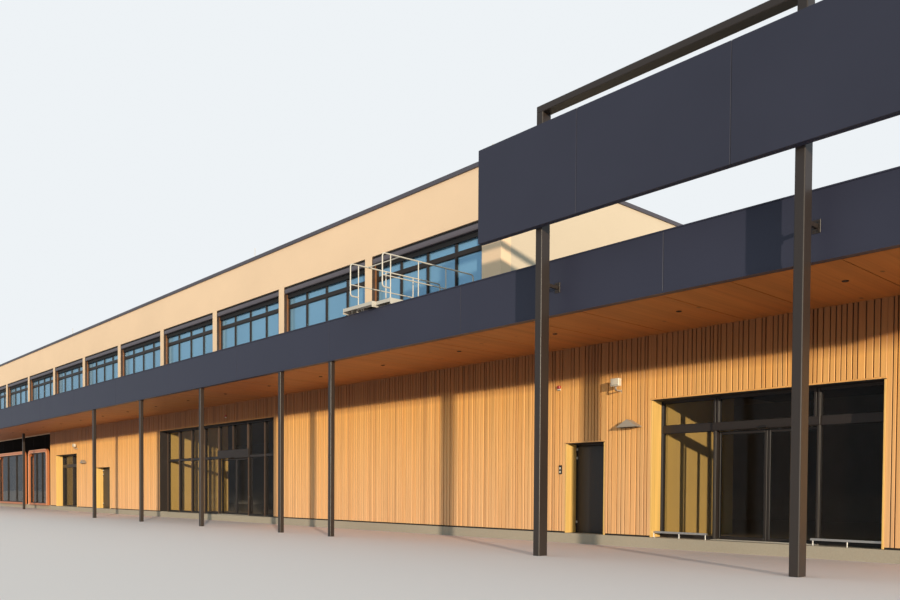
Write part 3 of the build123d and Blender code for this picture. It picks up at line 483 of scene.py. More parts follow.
class Shape:
    """A growing mesh of closed forms."""

    def __init__(self):
        self.mesh = bmesh.new()

    def box(self, x, y, z, edge=0.0):
        """A box by its limits, with small bevels if an edge width is given."""
        made = bmesh.ops.create_cube(self.mesh, size=1.0)["verts"]
        for vertex in made:
            vertex.co = Vector(low + (place + 0.5) * (high - low)
                               for place, (low, high) in zip(vertex.co, (x, y, z)))
        if edge:
            edges = list(dict.fromkeys(e for vertex in made for e in vertex.link_edges))
            bmesh.ops.bevel(self.mesh, geom=edges, offset=edge, segments=1, affect="EDGES")
        return self

    def rim(self, x, y, z, width, edge=0.0):
        """Four bars round an upright opening: two full uprights and two rails between them."""
        for side in ends(x, width):
            self.box(side, y, z, edge)
        for level in ends(z, width):
            self.box(inset(x, width), y, level, edge)
        return self

    def skin(self, rings, closed):
        """Faces between rings of points, with a lid on the first and the last unless they close up."""
        rings = [[self.mesh.verts.new(point) for point in ring] for ring in rings]
        pairs = zip(rings, rings[1:] + rings[:1]) if closed else [rings]
        faces = [] if closed else [self.mesh.faces.new(ring) for ring in rings]
        count = len(rings[0])
        for near, far in pairs:
            for i in range(count):
                j = (i + 1) % count
                faces.append(self.mesh.faces.new((near[i], near[j], far[j], far[i])))
        bmesh.ops.recalc_face_normals(self.mesh, faces=faces)
        return self

    def prism(self, outline, axis, start, end, origin=(0, 0)):
        """A closed outline drawn along one axis; its points are the other two coordinates."""
        rings = []
        for level in (start, end):
            ring = [[point[0] + origin[0], point[1] + origin[1]] for point in outline]
            for place in ring:
                place.insert(axis, level)
            rings.append(ring)
        return self.skin(rings, False)

    def cylinder(self, centre, axis, radius, start, end, sides=16):
        return self.prism(circle(centre, radius, sides), axis, start, end)

    def ring(self, outer, inner, start, end, sides):
        """A flat ring about the upright axis."""
        corners = ((outer, end), (outer, start), (inner, start), (inner, end))
        rings = [[(x, y, z) for x, y in circle((0, 0), radius, sides)] for radius, z in corners]
        return self.skin(rings, True)

    def add(self, mesh, matrix=None):
        """Take in another mesh, moved by a matrix."""
        if matrix is not None:
            mesh.transform(matrix)
        self.mesh.from_mesh(mesh)
        bpy.data.meshes.remove(mesh)
        return self

    def to_mesh(self, name):
        mesh = bpy.data.meshes.new(name)
        self.mesh.to_mesh(mesh)
        self.mesh.free()
        return mesh


def linked(name, data):
    """A new object in the scene."""
    made = bpy.data.objects.new(name, data)
    bpy.context.scene.collection.objects.link(made)
    return made


def evaluated(holder):
    """An object's evaluated geometry as a plain mesh."""
    graph = bpy.context.evaluated_depsgraph_get()
    return bpy.data.meshes.new_from_object(holder.evaluated_get(graph), depsgraph=graph)


def piece(name, shape, finish, body=BUILDING, replaces=(), smooth=False):
    """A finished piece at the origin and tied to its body."""
    mesh = shape.to_mesh(name) if isinstance(shape, Shape) else shape
    mesh.materials.clear()
    mesh.materials.append(FINISHES[finish])
    for polygon in mesh.polygons:
        polygon.material_index = 0
        polygon.use_smooth = smooth
    made = linked(name, mesh)
    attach(made, body)
    if replaces:
        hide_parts(*replaces)


# Node patterns


def pattern(name, **inputs):
    """An empty geometry tree with named inputs and one geometry output."""
    tree = bpy.data.node_groups.new(name, "GeometryNodeTree")
    for label, kind in inputs.items():
        tree.interface.new_socket(name=label, in_out="INPUT", socket_type=f"NodeSocket{kind}")
    tree.interface.new_socket(name="Geometry", in_out="OUTPUT", socket_type="NodeSocketGeometry")
    return tree, tree.nodes.new("NodeGroupInput").outputs


def drawn(tree, seed, low=0.0, high=1.0):
    """A random number between two limits for each point or piece."""
    return add_node(tree, "FunctionNodeRandomValue", {"data_type": "FLOAT"}, i2=low, i3=high,
                    Seed=seed).outputs[1]


def close_pattern(tree, instances, given):
    """Per-piece tone, then real geometry with its material."""
    stored = add_node(tree, "GeometryNodeStoreNamedAttribute", {"data_type": "FLOAT", "domain": "INSTANCE"},
                      Geometry=instances, Name="tone", Value=drawn(tree, given["Seed"]))
    real = add_node(tree, "GeometryNodeRealizeInstances", Geometry=stored.outputs[0])
    painted = add_node(tree, "GeometryNodeSetMaterial", Geometry=real.outputs[0], Material=given["Material"])
    add_node(tree, "NodeGroupOutput", i0=painted.outputs[0])
    return tree


def batten_pattern():
    """Battens of random width that fill one length exactly."""
    tree, given = pattern("batten_row", Batten="Object", Length="Float", Height="Float", Depth="Float",
                          Width="Float", Spread="Float", Gap="Float", Relief="Float", Seed="Int",
                          Material="Material")

    def calc(operation, first, second=0.0):
        return math_node(tree, operation, first, second)

    pitch = calc("ADD", given["Width"], given["Gap"])
    count = calc("MAXIMUM", calc("FLOOR", calc("DIVIDE", given["Length"], pitch)), 1.0)
    line = add_node(tree, "GeometryNodeMeshLine", {"mode": "OFFSET"}, Count=count, Offset=(0, 0, 0))
    low = calc("MULTIPLY", given["Width"], calc("SUBTRACT", 1.0, given["Spread"]))
    high = calc("MULTIPLY", given["Width"], calc("ADD", 1.0, given["Spread"]))
    whole = calc("ADD", drawn(tree, given["Seed"], low, high), given["Gap"])
    # Depths are drawn apart from widths.
    relief = drawn(tree, calc("ADD", given["Seed"], 50.0), calc("SUBTRACT", 1.0, given["Relief"]),
                   calc("ADD", 1.0, given["Relief"]))
    depth = calc("MULTIPLY", given["Depth"], relief)
    sums = add_node(tree, "GeometryNodeAccumulateField", {"data_type": "FLOAT", "domain": "POINT"}, i0=whole)
    fit = calc("DIVIDE", calc("ADD", given["Length"], given["Gap"]), sums.outputs["Total"])
    width = calc("SUBTRACT", calc("MULTIPLY", whole, fit), given["Gap"])
    middle = calc("ADD", calc("MULTIPLY", sums.outputs["Trailing"], fit), calc("DIVIDE", width, 2.0))
    spot = add_node(tree, "ShaderNodeCombineXYZ", X=middle).outputs[0]
    size = add_node(tree, "ShaderNodeCombineXYZ", X=width, Y=depth, Z=given["Height"]).outputs[0]
    caught = add_node(tree, "GeometryNodeCaptureAttribute", {"domain": "POINT"}, Geometry=line.outputs[0])
    caught.capture_items.new("VECTOR", "size")
    feed(tree, caught, size=size)
    moved = add_node(tree, "GeometryNodeSetPosition", Geometry=caught.outputs[0], Position=spot)
    stock = add_node(tree, "GeometryNodeObjectInfo", Object=given["Batten"], As_Instance=True)
    placed = add_node(tree, "GeometryNodeInstanceOnPoints", Points=moved.outputs[0],
                      Instance=stock.outputs["Geometry"], Scale=caught.outputs["size"])
    return close_pattern(tree, placed.outputs[0], given)


def row_pattern():
    """One piece repeated along a line."""
    tree, given = pattern("row_of_pieces", Piece="Object", Count="Int", Start="Vector", Step="Vector",
                          Seed="Int", Material="Material")
    line = add_node(tree, "GeometryNodeMeshLine", {"mode": "OFFSET"}, Count=given["Count"],
                    Start_Location=given["Start"], Offset=given["Step"])
    stock = add_node(tree, "GeometryNodeObjectInfo", Object=given["Piece"], As_Instance=True)
    placed = add_node(tree, "GeometryNodeInstanceOnPoints", Points=line.outputs[0],
                      Instance=stock.outputs["Geometry"])
    return close_pattern(tree, placed.outputs[0], given)


PATTERNS = {}


def grow(build, **values):
    """Run a node pattern once and return its result as a plain mesh."""
    if build not in PATTERNS:
        PATTERNS[build] = build()
    tree = PATTERNS[build]
    holder = linked("holder", bpy.data.meshes.new("holder"))
    modifier = holder.modifiers.new("pattern", "NODES")
    modifier.node_group = tree
    for item in tree.interface.items_tree:
        if item.in_out == "INPUT":
            modifier[item.identifier] = values[item.name]
    mesh = evaluated(holder)
    holder.modifiers.remove(modifier)
    bpy.data.objects.remove(holder)
    return mesh


def row(shape, finish, count, start, step, seed=1):
    """A shape repeated along the X axis, as one mesh."""
    stock = linked("stock", shape.to_mesh("stock"))
    mesh = grow(row_pattern, Piece=stock, Count=count, Start=Vector(start), Step=Vector((step, 0, 0)),
                Seed=seed, Material=FINISHES[finish])
    bpy.data.objects.remove(stock)
    return mesh


def batten_rows(spans, face, matrix=None, seed=0):
    """Battens for several (start, end, low, high) spans of one wall face."""
    rules = bpy.context.scene.shop_cladding
    # A share of the width. A batten is about a third as deep as wide, so along its depth it counts thrice.
    arris = 0.06
    outline = [(-0.5, 0), (0.5, 0), (0.5, -1 + arris * 3), (0.5 - arris, -1), (-0.5 + arris, -1),
               (-0.5, -1 + arris * 3)]
    stock = linked("stock", Shape().prism(outline, 2, 0.0, 1.0).to_mesh("stock"))
    whole = Shape()
    for index, (start, end, low, high) in enumerate(spans):
        mesh = grow(batten_pattern, Batten=stock, Length=end - start, Height=high - low, Depth=rules.depth,
                    Width=rules.width, Spread=rules.spread, Gap=rules.gap, Relief=rules.relief,
                    Seed=rules.seed + seed + index, Material=FINISHES["batten"])
        whole.add(mesh, Matrix.Translation((start, face, low)))
    bpy.data.objects.remove(stock)
    mesh = whole.to_mesh("battens")
    if matrix is not None:
        mesh.transform(matrix)
    return mesh


# Places that several operators need

# Height of the boards that close an opening's head.
HEAD_BOARD = 0.012


def openings():
    """The lintels over the five openings of the clad wall, from left to right.

    The one over the left entrance starts higher, where its tall upper lights end.
    """
    found = dict(zip(("window", "side_door", "left_entrance", "service_door", "right_entrance"),
                     sorted(solids("front_wall_lintels"), key=lambda box: box[0].x)))
    lo, hi = found["left_entrance"]
    found["left_entrance"] = (Vector((lo.x, lo.y, bpy.context.scene.shop_entrances.tall_head)), hi)
    return found


def panes_of(entrance):
    """Panes of an entrance: the left one's upper lights are tall, the right one's middle light is whole."""
    lo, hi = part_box(f"{entrance}_frame")
    found = [box for box in solids("ground_floor_glass") if lo.x < box[0].x < hi.x]
    upper = [box for box in found if box[1].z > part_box("entrance_tracks")[1].z + 0.1]
    lower = [box for box in found if box not in upper]
    if entrance == "left_entrance":
        rules = bpy.context.scene.shop_entrances
        rise = Vector((0, 0, rules.tall_head - hi.z))
        drop = Vector((0, 0, upper[0][0].z - lower[0][1].z - rules.transom))
        return lower + [(low - drop, high + rise) for low, high in upper]
    return lower + [upper[0], (upper[1][0], upper[2][1]), upper[3]]


def between(low, high, spans):
    """What the spans leave free of the stretch from low to high."""
    edges = [low] + [edge for span in sorted(set(spans)) for edge in span] + [high]
    return [(start, end) for start, end in zip(edges[::2], edges[1::2]) if end - start > 1e-5]


def frame_face():
    """Front of the frames that stand back in the openings."""
    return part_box("left_window_frame")[0].y


def floor_level():
    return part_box("front_wall")[0].z


class SHOP_OT_finishes(bpy.types.Operator):
    """Make the materials and give the CAD nodes theirs"""
    bl_idname = "shop.finishes"
    bl_label = "Finishes"

    nodes_by_finish = {
        "front_wall": "front_wall front_wall_lintels",
        "rear_wall": "rear_wall",
        "plaster": "end_walls",
        "lobby": "lobby_wall",
        "concrete": "ground_floor_slab",
        "shop": "shop_wall shop_frieze",
        "shop_frame": "shop_window_frames",
        "window": "left_window_frame left_entrance_frame right_entrance_frame upper_window_frames"
                  " left_entrance_left_leaf left_entrance_right_leaf"
                  " right_entrance_left_leaf right_entrance_right_leaf",
        "door": "door_frames service_door_leaf side_door_left_leaf side_door_right_leaf",
        "lower_pane": "ground_floor_glass",
        "upper_pane": "upper_glass",
        "zinc": "entrance_tracks lightning_rods roof_platform guard_rails",
        "steel_pale": "kick_rails",
        "plastic": "wall_fittings",
        "roof": "canopy_deck upper_roof low_roof",
        "fascia": "canopy_fascia fascia_ends",
        "steel": "canopy_columns sign_posts sign_top_rail sign_brackets",
        "sign": "sign_board",
        "render": "upper_floor upper_sill_walls upper_piers upper_head_walls low_parapets",
        "gable": "upper_gables low_end_parapet",
        "shutter": "blind_boxes",
        "coping": "long_copings end_copings",
    }

    def execute(self, context):
        make_finishes()
        missing = set(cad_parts) - set(" ".join(self.nodes_by_finish.values()).split())
        if missing:
            raise RuntimeError(f"nodes without a finish: {sorted(missing)}")
        for finish, nodes in self.nodes_by_finish.items():
            for node in nodes.split():
                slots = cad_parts[node].material_slots
                if not slots:
                    raise RuntimeError(f"{node} has no material slot")
                for slot in slots:
                    slot.material = FINISHES[finish]
        return {"FINISHED"}


class SHOP_OT_battens(bpy.types.Operator):
    """Clad the ground floor with vertical battens"""
    bl_idname = "shop.battens"
    bl_label = "Battens"

    def execute(self, context):
        rules = context.scene.shop_cladding
        depth = rules.depth
        walls = solids("front_wall")
        start, face = walls[0][0].x, walls[0][0].y
        spans = [(lo.x, hi.x, lo.z + rules.foot, hi.z) for lo, hi in walls]
        spans += [(lo.x, hi.x, lo.z + HEAD_BOARD, hi.z) for lo, hi in openings().values()]
        piece("front_battens", batten_rows(spans, face), "batten")

        shop_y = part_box("shop_wall")[0].y
        lo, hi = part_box("rear_wall")
        left, right = (corner.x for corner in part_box("end_walls"))
        z = (lo.z + rules.foot, hi.z)
        for name, first, last, place, quarters, seed in (
                ("rear", -hi.x, -lo.x, (0, hi.y, 0), 2, 20),
                ("left_end", -hi.y, -shop_y, (left, 0, 0), -1, 29),
                ("right_end", face, hi.y, (right, 0, 0), 1, 31)):
            turn = Matrix.Translation(place) @ Matrix.Rotation(quarters * math.pi / 2, 4, "Z")
            piece(f"{name}_battens", batten_rows([(first, last, *z)], 0.0, turn, seed), "batten")

        corners = Shape()
        for x, y in (((left - depth, left), (hi.y, hi.y + depth)),
                     ((right, right + depth), (hi.y, hi.y + depth)),
                     ((right, right + depth), (face - depth, face)),
                     ((start - depth, start), (face - depth, shop_y))):
            corners.box(x, y, z, ARRIS)
        piece("corner_boards", corners, "batten")
        return {"FINISHED"}


class SHOP_OT_linings(bpy.types.Operator):
    """Set the lintels, line the openings and trim their heads"""
    bl_idname = "shop.linings"
    bl_label = "Opening linings"

    def execute(self, context):
        back, floor = frame_face(), floor_level()
        drip = [(-0.006, -0.004), (0.006, -0.004), (0.006, 0.012), (0, 0.012), (-0.006, 0.004)]
        lintels, jambs, casing, heads, drips = (Shape() for _ in range(5))
        for name, (lo, hi) in openings().items():
            x, y, z = zip(lo, hi)
            lintels.box(x, y, z)
            front, head = lo.y - 0.017, lo.z
            lined, thick = jambs, context.scene.shop_cladding.lining
            if name == "left_entrance":
                lined, thick = casing, context.scene.shop_entrances.casing
            for side in ends(x, thick):
                lined.box(side, (front, back), (floor + 0.004, head - HEAD_BOARD), 0.0015)
            heads.box(x, (front + 0.006, back), (head - HEAD_BOARD, head + 0.002), FINE)
            drips.prism(drip, 0, lo.x - 0.004, hi.x + 0.004, (front, head))
        piece("wall_lintels", lintels, "front_wall", replaces=("front_wall_lintels",))
        piece("opening_linings", jambs, "lining")
        piece("left_entrance_casing", casing, "window")
        piece("opening_heads", heads, "dark")
        piece("head_drips", drips, "batten")
        return {"FINISHED"}


class SHOP_OT_entrances(bpy.types.Operator):
    """Frames, panes, door operator covers and thresholds of the glazed entrances"""
    bl_idname = "shop.entrances"
    bl_label = "Entrance frames"

    def execute(self, context):
        rules = context.scene.shop_entrances
        back, floor, lintels = frame_face(), floor_level(), openings()
        glass, dark_glass = Shape(), Shape()
        for lo, hi in solids("ground_floor_glass"):
            if lo.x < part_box("left_entrance_frame")[0].x:
                dark_glass.box(*zip(lo, hi))
        bead, bead_depth = 0.007, 0.010
        for entrance, cap_finish in (("left_entrance", "cap"), ("right_entrance", "window")):
            frames, beads, caps = Shape(), Shape(), Shape()
            panes = panes_of(entrance)
            rise = lintels[entrance][0].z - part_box(f"{entrance}_frame")[1].z
            for lo, hi in solids(f"{entrance}_frame"):
                own = [pane for pane in panes if lo.x < pane[0].x < hi.x]
                columns = {(low.x, high.x) for low, high in own}
                rows = {(low.z, high.z) for low, high in own}
                y, top = (lo.y, hi.y), hi.z + rise
                for start, end in between(lo.x, hi.x, columns):
                    frames.box((start, end), y, (lo.z, top), ARRIS)
                    caps.box(around((start + end) / 2, min(rules.cap, end - start) / 2),
                             (lo.y - rules.cap_depth, lo.y), (lo.z + 0.004, top - 0.014), 0.0015)
                for level in between(lo.z, top, rows):
                    for column in columns:
                        frames.box(inset(column, -0.001), y, level, FINE)
            for lo, hi in panes:
                x, y, z = zip(lo, hi)
                glass.box(x, y, z)
                beads.rim(x, (lo.y - bead_depth, lo.y), z, bead, FINE)
            piece(f"{entrance}_bars", frames, "window", replaces=(f"{entrance}_frame",))
            piece(f"{entrance}_beads", beads, "dark")
            piece(f"{entrance}_caps", caps, cap_finish)
        piece("entrance_panes", glass, "lower_pane", replaces=("ground_floor_glass",))
        piece("shop_panes", dark_glass, "shop_pane")
        x, y, z = zip(*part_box("lobby_wall"))
        across = lintels["left_entrance"][0].x - lintels["right_entrance"][0].x
        side_wall = Shape().box((x[0] + across, x[1] + across), y, z)
        piece("left_lobby_wall", side_wall, "lobby")

        covers, eyes, plates = Shape(), Shape(), Shape()
        low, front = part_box("entrance_tracks")[0].z, back - 0.022
        for side, height in (("left", 0.180), ("right", 0.090)):
            left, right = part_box(f"{side}_entrance_left_leaf"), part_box(f"{side}_entrance_right_leaf")
            x = (left[0].x - 0.02, right[1].x + 0.02)
            covers.box(x, (front, back), (low + 0.001, low + height), 0.003)
            covers.box(x, (back - 0.026, front), (low + 0.012, low + 0.016))
            eyes.box(around(sum(x) / 2, 0.050), (back - 0.040, front), (low + 0.006, low + 0.026), 0.006)
            plates.box(x, (back - 0.040, left[1].y + 0.050), (floor, floor + 0.004), FINE)
            for i in range(6):
                y = back - 0.030 + i * 0.018
                plates.box(x, (y, y + 0.006), (floor + 0.004, floor + 0.0055))
        piece("door_operator_covers", covers, "window")
        piece("door_sensors", eyes, "dark")
        piece("door_thresholds", plates, "zinc")
        return {"FINISHED"}


class SHOP_OT_leaves(bpy.types.Operator):
    """Dress the sliding leaves: stiles, gaskets, panes, hangers and rollers"""
    bl_idname = "shop.leaves"
    bl_label = "Sliding leaves"

    def execute(self, context):
        track_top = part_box("entrance_tracks")[1].z
        stile, depth, wheel, axle, play = 0.030, 0.025, 0.012, 0.003, 0.0003
        # Depth of the track and the gap between it and a leaf's head.
        track, gap = 0.012, 0.008
        sides = ("left", "right")
        # Where the outer gasket starts, where the pane is clamped, and where the inner gasket ends.
        outer, pane_front, pane_back, inner = 0.0015, 0.0065, 0.0185, 0.0235
        for node in [f"{side}_entrance_{leaf}_leaf" for side in sides for leaf in sides]:
            lo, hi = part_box(node)
            front = min(box[0].y for box in solids(node) if box[1].z < hi.z) - pane_front
            x, z = (lo.x, hi.x), (lo.z, track_top - track - gap)
            rim = Shape().rim(x, (front, front + depth), z, stile, ARRIS)
            piece(f"{node}_rim", rim, "window", node, replaces=(node,))
            x, z = inset(x, stile), inset(z, stile)
            gasket = Shape()
            for near, far in ((outer, pane_front), (pane_back, inner)):
                gasket.rim(x, (front + near, front + far), z, 0.005)
            piece(f"{node}_gaskets", gasket, "dark", node)
            sheet = Shape().box(inset(x, play), (front + pane_front, front + pane_back), inset(z, play))
            piece(f"{node}_pane", sheet, "lower_pane", node)
            hangers = Shape()
            middle, level = front + depth / 2, track_top + play + wheel
            for share in (0.2, 0.8):
                place = lo.x + share * (hi.x - lo.x)
                hangers.cylinder((place, level), 1, wheel, middle - 0.005, middle + 0.005, 20)
                hangers.cylinder((place, level), 1, axle, middle + 0.005, hi.y, 10)
                hangers.box(around(place, 0.006), (middle + 0.011, hi.y), (z[1], level + 0.006), FINE)
            piece(f"{node}_hangers", hangers, "steel_pale", node)
        return {"FINISHED"}


class SHOP_OT_steel_doors(bpy.types.Operator):
    """Leaves of the service door and of the side door, with hinges and a lever"""
    bl_idname = "shop.steel_doors"
    bl_label = "Steel doors"

    def execute(self, context):
        back, floor, lintels = frame_face(), floor_level(), openings()
        edge, gap, depth, knuckle = 0.030, 0.008, 0.028, 0.007
        # Which way each leaf runs from its hinges: 1 to the right, -1 to the left.
        for node, opening, side in (("service_door_leaf", "service_door", 1),
                                    ("side_door_left_leaf", "side_door", 1),
                                    ("side_door_right_leaf", "side_door", -1)):
            lo, hi = lintels[opening]
            jamb = lo.x + edge if side > 0 else hi.x - edge
            clear = hi.x - lo.x - 2 * edge
            width = clear - 2 * gap if opening == "service_door" else (clear - 3 * gap) / 2
            near = jamb + side * gap
            x = sorted((near, near + side * width))
            z = (floor + gap, lo.z - edge - gap)
            leaf = Shape().box(x, (back, back + depth), z, ARRIS)
            leaf.box(inset(x, 0.010), (back - 0.0008, back), inset(z, 0.012), 0.0004)
            piece(f"{node}_panel", leaf, "door", node, replaces=(node,))
            pins = Shape()
            pin = (jamb + side * gap / 2, back - knuckle)
            height, length = lo.z - edge - floor, 0.030
            for share in (0.085, 0.82, 0.92):
                start = floor + height * share + 0.0303
                pins.cylinder(pin, 2, knuckle, start, start + length)
                pins.box(sorted((pin[0], near + side * 0.0105)), (pin[1], back), (start, start + length))
            piece(f"{node}_hinges", pins, "steel_pale", node)
            if opening == "service_door":
                self.add_lever(node, x[1] - 0.040, back - 0.0003)
        return {"FINISHED"}

    @staticmethod
    def add_lever(node, place, face):
        """A plate with a bent lever above a key cylinder."""
        level, bar, reach = 0.640, 0.0045, 0.0275
        lever = Shape().box(around(place, 0.010), (face - 0.004, face), around(level, 0.055), 0.0015)
        lever.cylinder((place, level + 0.020), 1, bar, face - 0.032, face - 0.003, 14)
        lever.cylinder((face - reach, level + 0.020), 0, bar, place - 0.062, place + bar, 14)
        lever.cylinder((place, level - 0.030), 1, 0.006, face - 0.007, face - 0.003, 14)
        piece("service_door_lever", lever, "steel_pale", node)


class SHOP_OT_soffit(bpy.types.Operator):
    """Hang the timber panels and set the downlights under the canopy"""
    bl_idname = "shop.soffit"
    bl_label = "Soffit"

    def execute(self, context):
        rules = context.scene.shop_canopy
        lo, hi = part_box("canopy_deck")
        step, half = rules.light_step, rules.soffit_joint / 2
        # The right-most light, the line of lights, the narrower panel and the boards' thickness.
        count, light_x, light_y, narrow, board = 21, 15.12, -3.8725, 0.69, 0.008
        first = light_x + 0.25 - (count - 1) * step
        last = first + count * step
        under = lo.z - board
        y, z = (lo.y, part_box("front_wall")[0].y), (under, lo.z)
        pair = Shape()
        for stretch in ((0.0, narrow), (narrow, step)):
            pair.box(inset(stretch, half), y, z, ARRIS)
        whole = Shape().add(row(pair, "soffit", count, (first, 0, 0), step))
        for stretch in ((lo.x, first), (last, last + narrow), (last + narrow, hi.x)):
            whole.box(inset(stretch, half), y, z, ARRIS)
        piece("soffit_panels", whole, "soffit")
        backing = Shape().box((lo.x, hi.x), y, (lo.z - 0.001, lo.z + 0.0005))
        piece("soffit_joints", backing, "dark")

        outer, inner, sides = rules.light_radius, rules.light_radius * 0.78, 24
        ring = Shape().ring(outer, inner, under - 0.005, under + 0.001, sides)
        lens = Shape().cylinder((0, 0), 2, inner, under - 0.002, under + 0.001, sides)
        start = (light_x - (count - 1) * step, light_y, 0)
        piece("downlight_rings", row(ring, "dark", count, start, step), "dark")
        piece("downlight_lenses", row(lens, "lens", count, start, step), "lens")
        return {"FINISHED"}


class SHOP_OT_fascia(bpy.types.Operator):
    """Panel the canopy's edge and fold the copings"""
    bl_idname = "shop.fascia"
    bl_label = "Fascia and copings"

    def execute(self, context):
        rules = context.scene.shop_canopy
        lo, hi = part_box("canopy_fascia")
        step, half, thick = rules.fascia_panel, rules.joint / 2, 0.005
        # A joint that the photo shows, and the tenth one to its left, where the row starts.
        seen_joint = 11.09
        first = seen_joint - 10 * step
        count = int((hi.x - first) // step)
        y, z = (lo.y - thick, lo.y), (lo.z + 0.012, hi.z - 0.004)
        panel = Shape().box(inset((0, step), half), y, z, ARRIS)
        whole = Shape().add(row(panel, "fascia", count, (first, 0, 0), step))
        for stretch in ((lo.x, first), (first + count * step, hi.x)):
            whole.box(inset(stretch, half), y, z, ARRIS)
        left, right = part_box("fascia_ends")
        for x in ((left.x - thick, left.x), (right.x, right.x + thick)):
            whole.box(x, (lo.y, right.y), z, 0.0015)
        piece("fascia_panels", whole, "fascia")
        trim = Shape()
        trim.prism([(-0.012, -0.008), (0.070, -0.008), (0.070, 0), (-0.006, 0), (-0.006, 0.012),
                    (-0.012, 0.012)], 0, lo.x, hi.x, (lo.y, lo.z))
        trim.prism([(-0.012, -0.006), (-0.006, -0.006), (-0.006, 0), (0.066, 0), (0.066, 0.006),
                    (-0.012, 0.006)], 0, lo.x, hi.x, (lo.y, hi.z))
        piece("fascia_edge_trims", trim, "fascia")

        face, lip, fold = context.scene.shop_windows.coping, 0.020, 0.004
        caps = Shape()
        for node, side in (("long_copings", "render"), ("end_copings", "gable")):
            heads = Shape()
            # The long heads run through the corners, the end ones reach into them.
            reach = lip if node == "long_copings" else -lip
            for low, high in solids(node):
                x, y, _ = zip(low, high)
                foot = high.z - face
                caps.box(x, y, (foot, high.z), 0.003)
                caps.box(inset(x, -fold), inset(y, -fold), (foot - fold, foot + 0.006), FINE)
                heads.box(inset(x, lip), inset(y, reach), (low.z, foot + 0.002))
            piece(f"{side}_parapet_heads", heads, side)
        piece("coping_sheets", caps, "coping", replaces=("long_copings", "end_copings"))

        sheets, over = Shape(), 0.008
        for low, high in solids("low_parapets") + solids("low_end_parapet"):
            x, y, _ = zip(low, high)
            sheets.box(inset(x, -over), inset(y, -over), (high.z, high.z + 0.012), ARRIS)
            sheets.box(inset(x, -over), (low.y - 0.010, low.y - 0.006), (high.z - 0.030, high.z + over),
                       FINE)
        piece("low_parapet_sheets", sheets, "coping")
        return {"FINISHED"}


class SHOP_OT_window_band(bpy.types.Operator):
    """Dress the upper window band: shutter boxes, guides, reveals, beads and sills"""
    bl_idname = "shop.window_band"
    bl_label = "Window band"

    def execute(self, context):
        rules = context.scene.shop_windows
        wall_front, wall_back = (corner.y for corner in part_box("upper_piers"))
        middle_y = (wall_front + wall_back) / 2
        boxes = [box for box in solids("blind_boxes") if box[0].y < middle_y]
        (first, front, low), (first_end, _, top) = boxes[0]
        (_, face, sill), (_, _, head) = solids("upper_window_frames")[0]
        width, count = first_end - first, len(boxes)
        step = (boxes[-1][0].x - first) / (count - 1)
        split = wall_front + rules.reveal

        clear = (0.001, width - 0.001)
        housing = Shape().prism([(front, low + 0.010), (front, top), (face, top), (face, low),
                                 (front + 0.010, low)], 0, *clear)
        housing.prism([(-0.002, 0.026), (0, 0.026), (0, 0.031), (-0.002, 0.031)], 0, *clear, (front, low))
        shadows = Shape().box((0, width), (front + 0.020, face), (top, head))
        shadows.box((0, width), (face - 0.020, face), (low - rules.slat, low), FINE)
        outer, guides = Shape(), Shape()
        for near, inward in ((0.0, 1), (width, -1)):
            rail = near + inward * rules.guide
            lip = near + inward * (rules.guide + 0.003)
            outer.box(sorted((near, near + inward * 0.005)), (wall_front + 0.002, split), (sill, head), FINE)
            guides.box(sorted((near, rail)), (split, face), (sill, low), ARRIS)
            guides.box(sorted((rail, lip)), (split + 0.014, split + 0.020), (sill, low))
        # Four lights side by side, each with a bead round its lower and its upper pane. bar is half a
        # mullion's width, and the transom's middle is 353 mm below the head.
        light, bar, transom = width / 4, 0.016, head - 0.353
        sash = Shape()
        for i in range(4):
            x = (i * light + (bar if i else 2 * bar), (i + 1) * light - (bar if i < 3 else 2 * bar))
            for z in ((sill + 2 * bar, transom - 2 * bar), (transom + 2 * bar, head - 2 * bar)):
                sash.rim(x, (face + 0.008, face + 0.026), z, rules.bead, FINE)
        nose = wall_front - 0.012
        sheet = Shape().prism([(nose, sill - 0.002), (nose, sill + 0.008), (face, sill + 0.016),
                               (face, sill - 0.002)], 0, 0.0, width)
        shapes = {
            "shutter_boxes": (housing, "shutter", "blind_box"),
            "shutter_slots": (shadows, "dark", "dark_frame"),
            "window_reveals": (outer, "reveal", "dark_frame"),
            "shutter_guides": (guides, "guide", "dark_frame"),
            "window_beads": (sash, "window", "dark_frame"),
            "window_sill_sheets": (sheet, "coping", "coping_metal"),
        }
        half_turn = Matrix.Rotation(math.pi, 4, "Z")
        to_rear = Matrix.Translation((2 * first + (count - 1) * step + width, 2 * middle_y, 0)) @ half_turn
        for name, (shape, finish, slot) in shapes.items():
            one = shape.to_mesh(name)
            both = Shape()
            for matrix in (None, to_rear):
                copy = Shape().add(one.copy())
                both.add(row(copy, finish, count, (first, 0, 0), step, seed=3), matrix)
            bpy.data.meshes.remove(one)
            piece(name, both, finish, replaces=("blind_boxes",) if name == "shutter_boxes" else ())
        return {"FINISHED"}


def tube(points, radius):
    """A round tube along a path, as a mesh."""
    curve = bpy.data.curves.new("tube", "CURVE")
    curve.dimensions = "3D"
    curve.bevel_depth = radius
    curve.bevel_resolution = 3
    curve.use_fill_caps = True
    spline = curve.splines.new("POLY")
    spline.points.add(len(points) - 1)
    for knot, point in zip(spline.points, points):
        knot.co = (*point, 1)
    holder = linked("tube", curve)
    mesh = evaluated(holder)
    bpy.data.objects.remove(holder)
    bpy.data.curves.remove(curve)
    return mesh


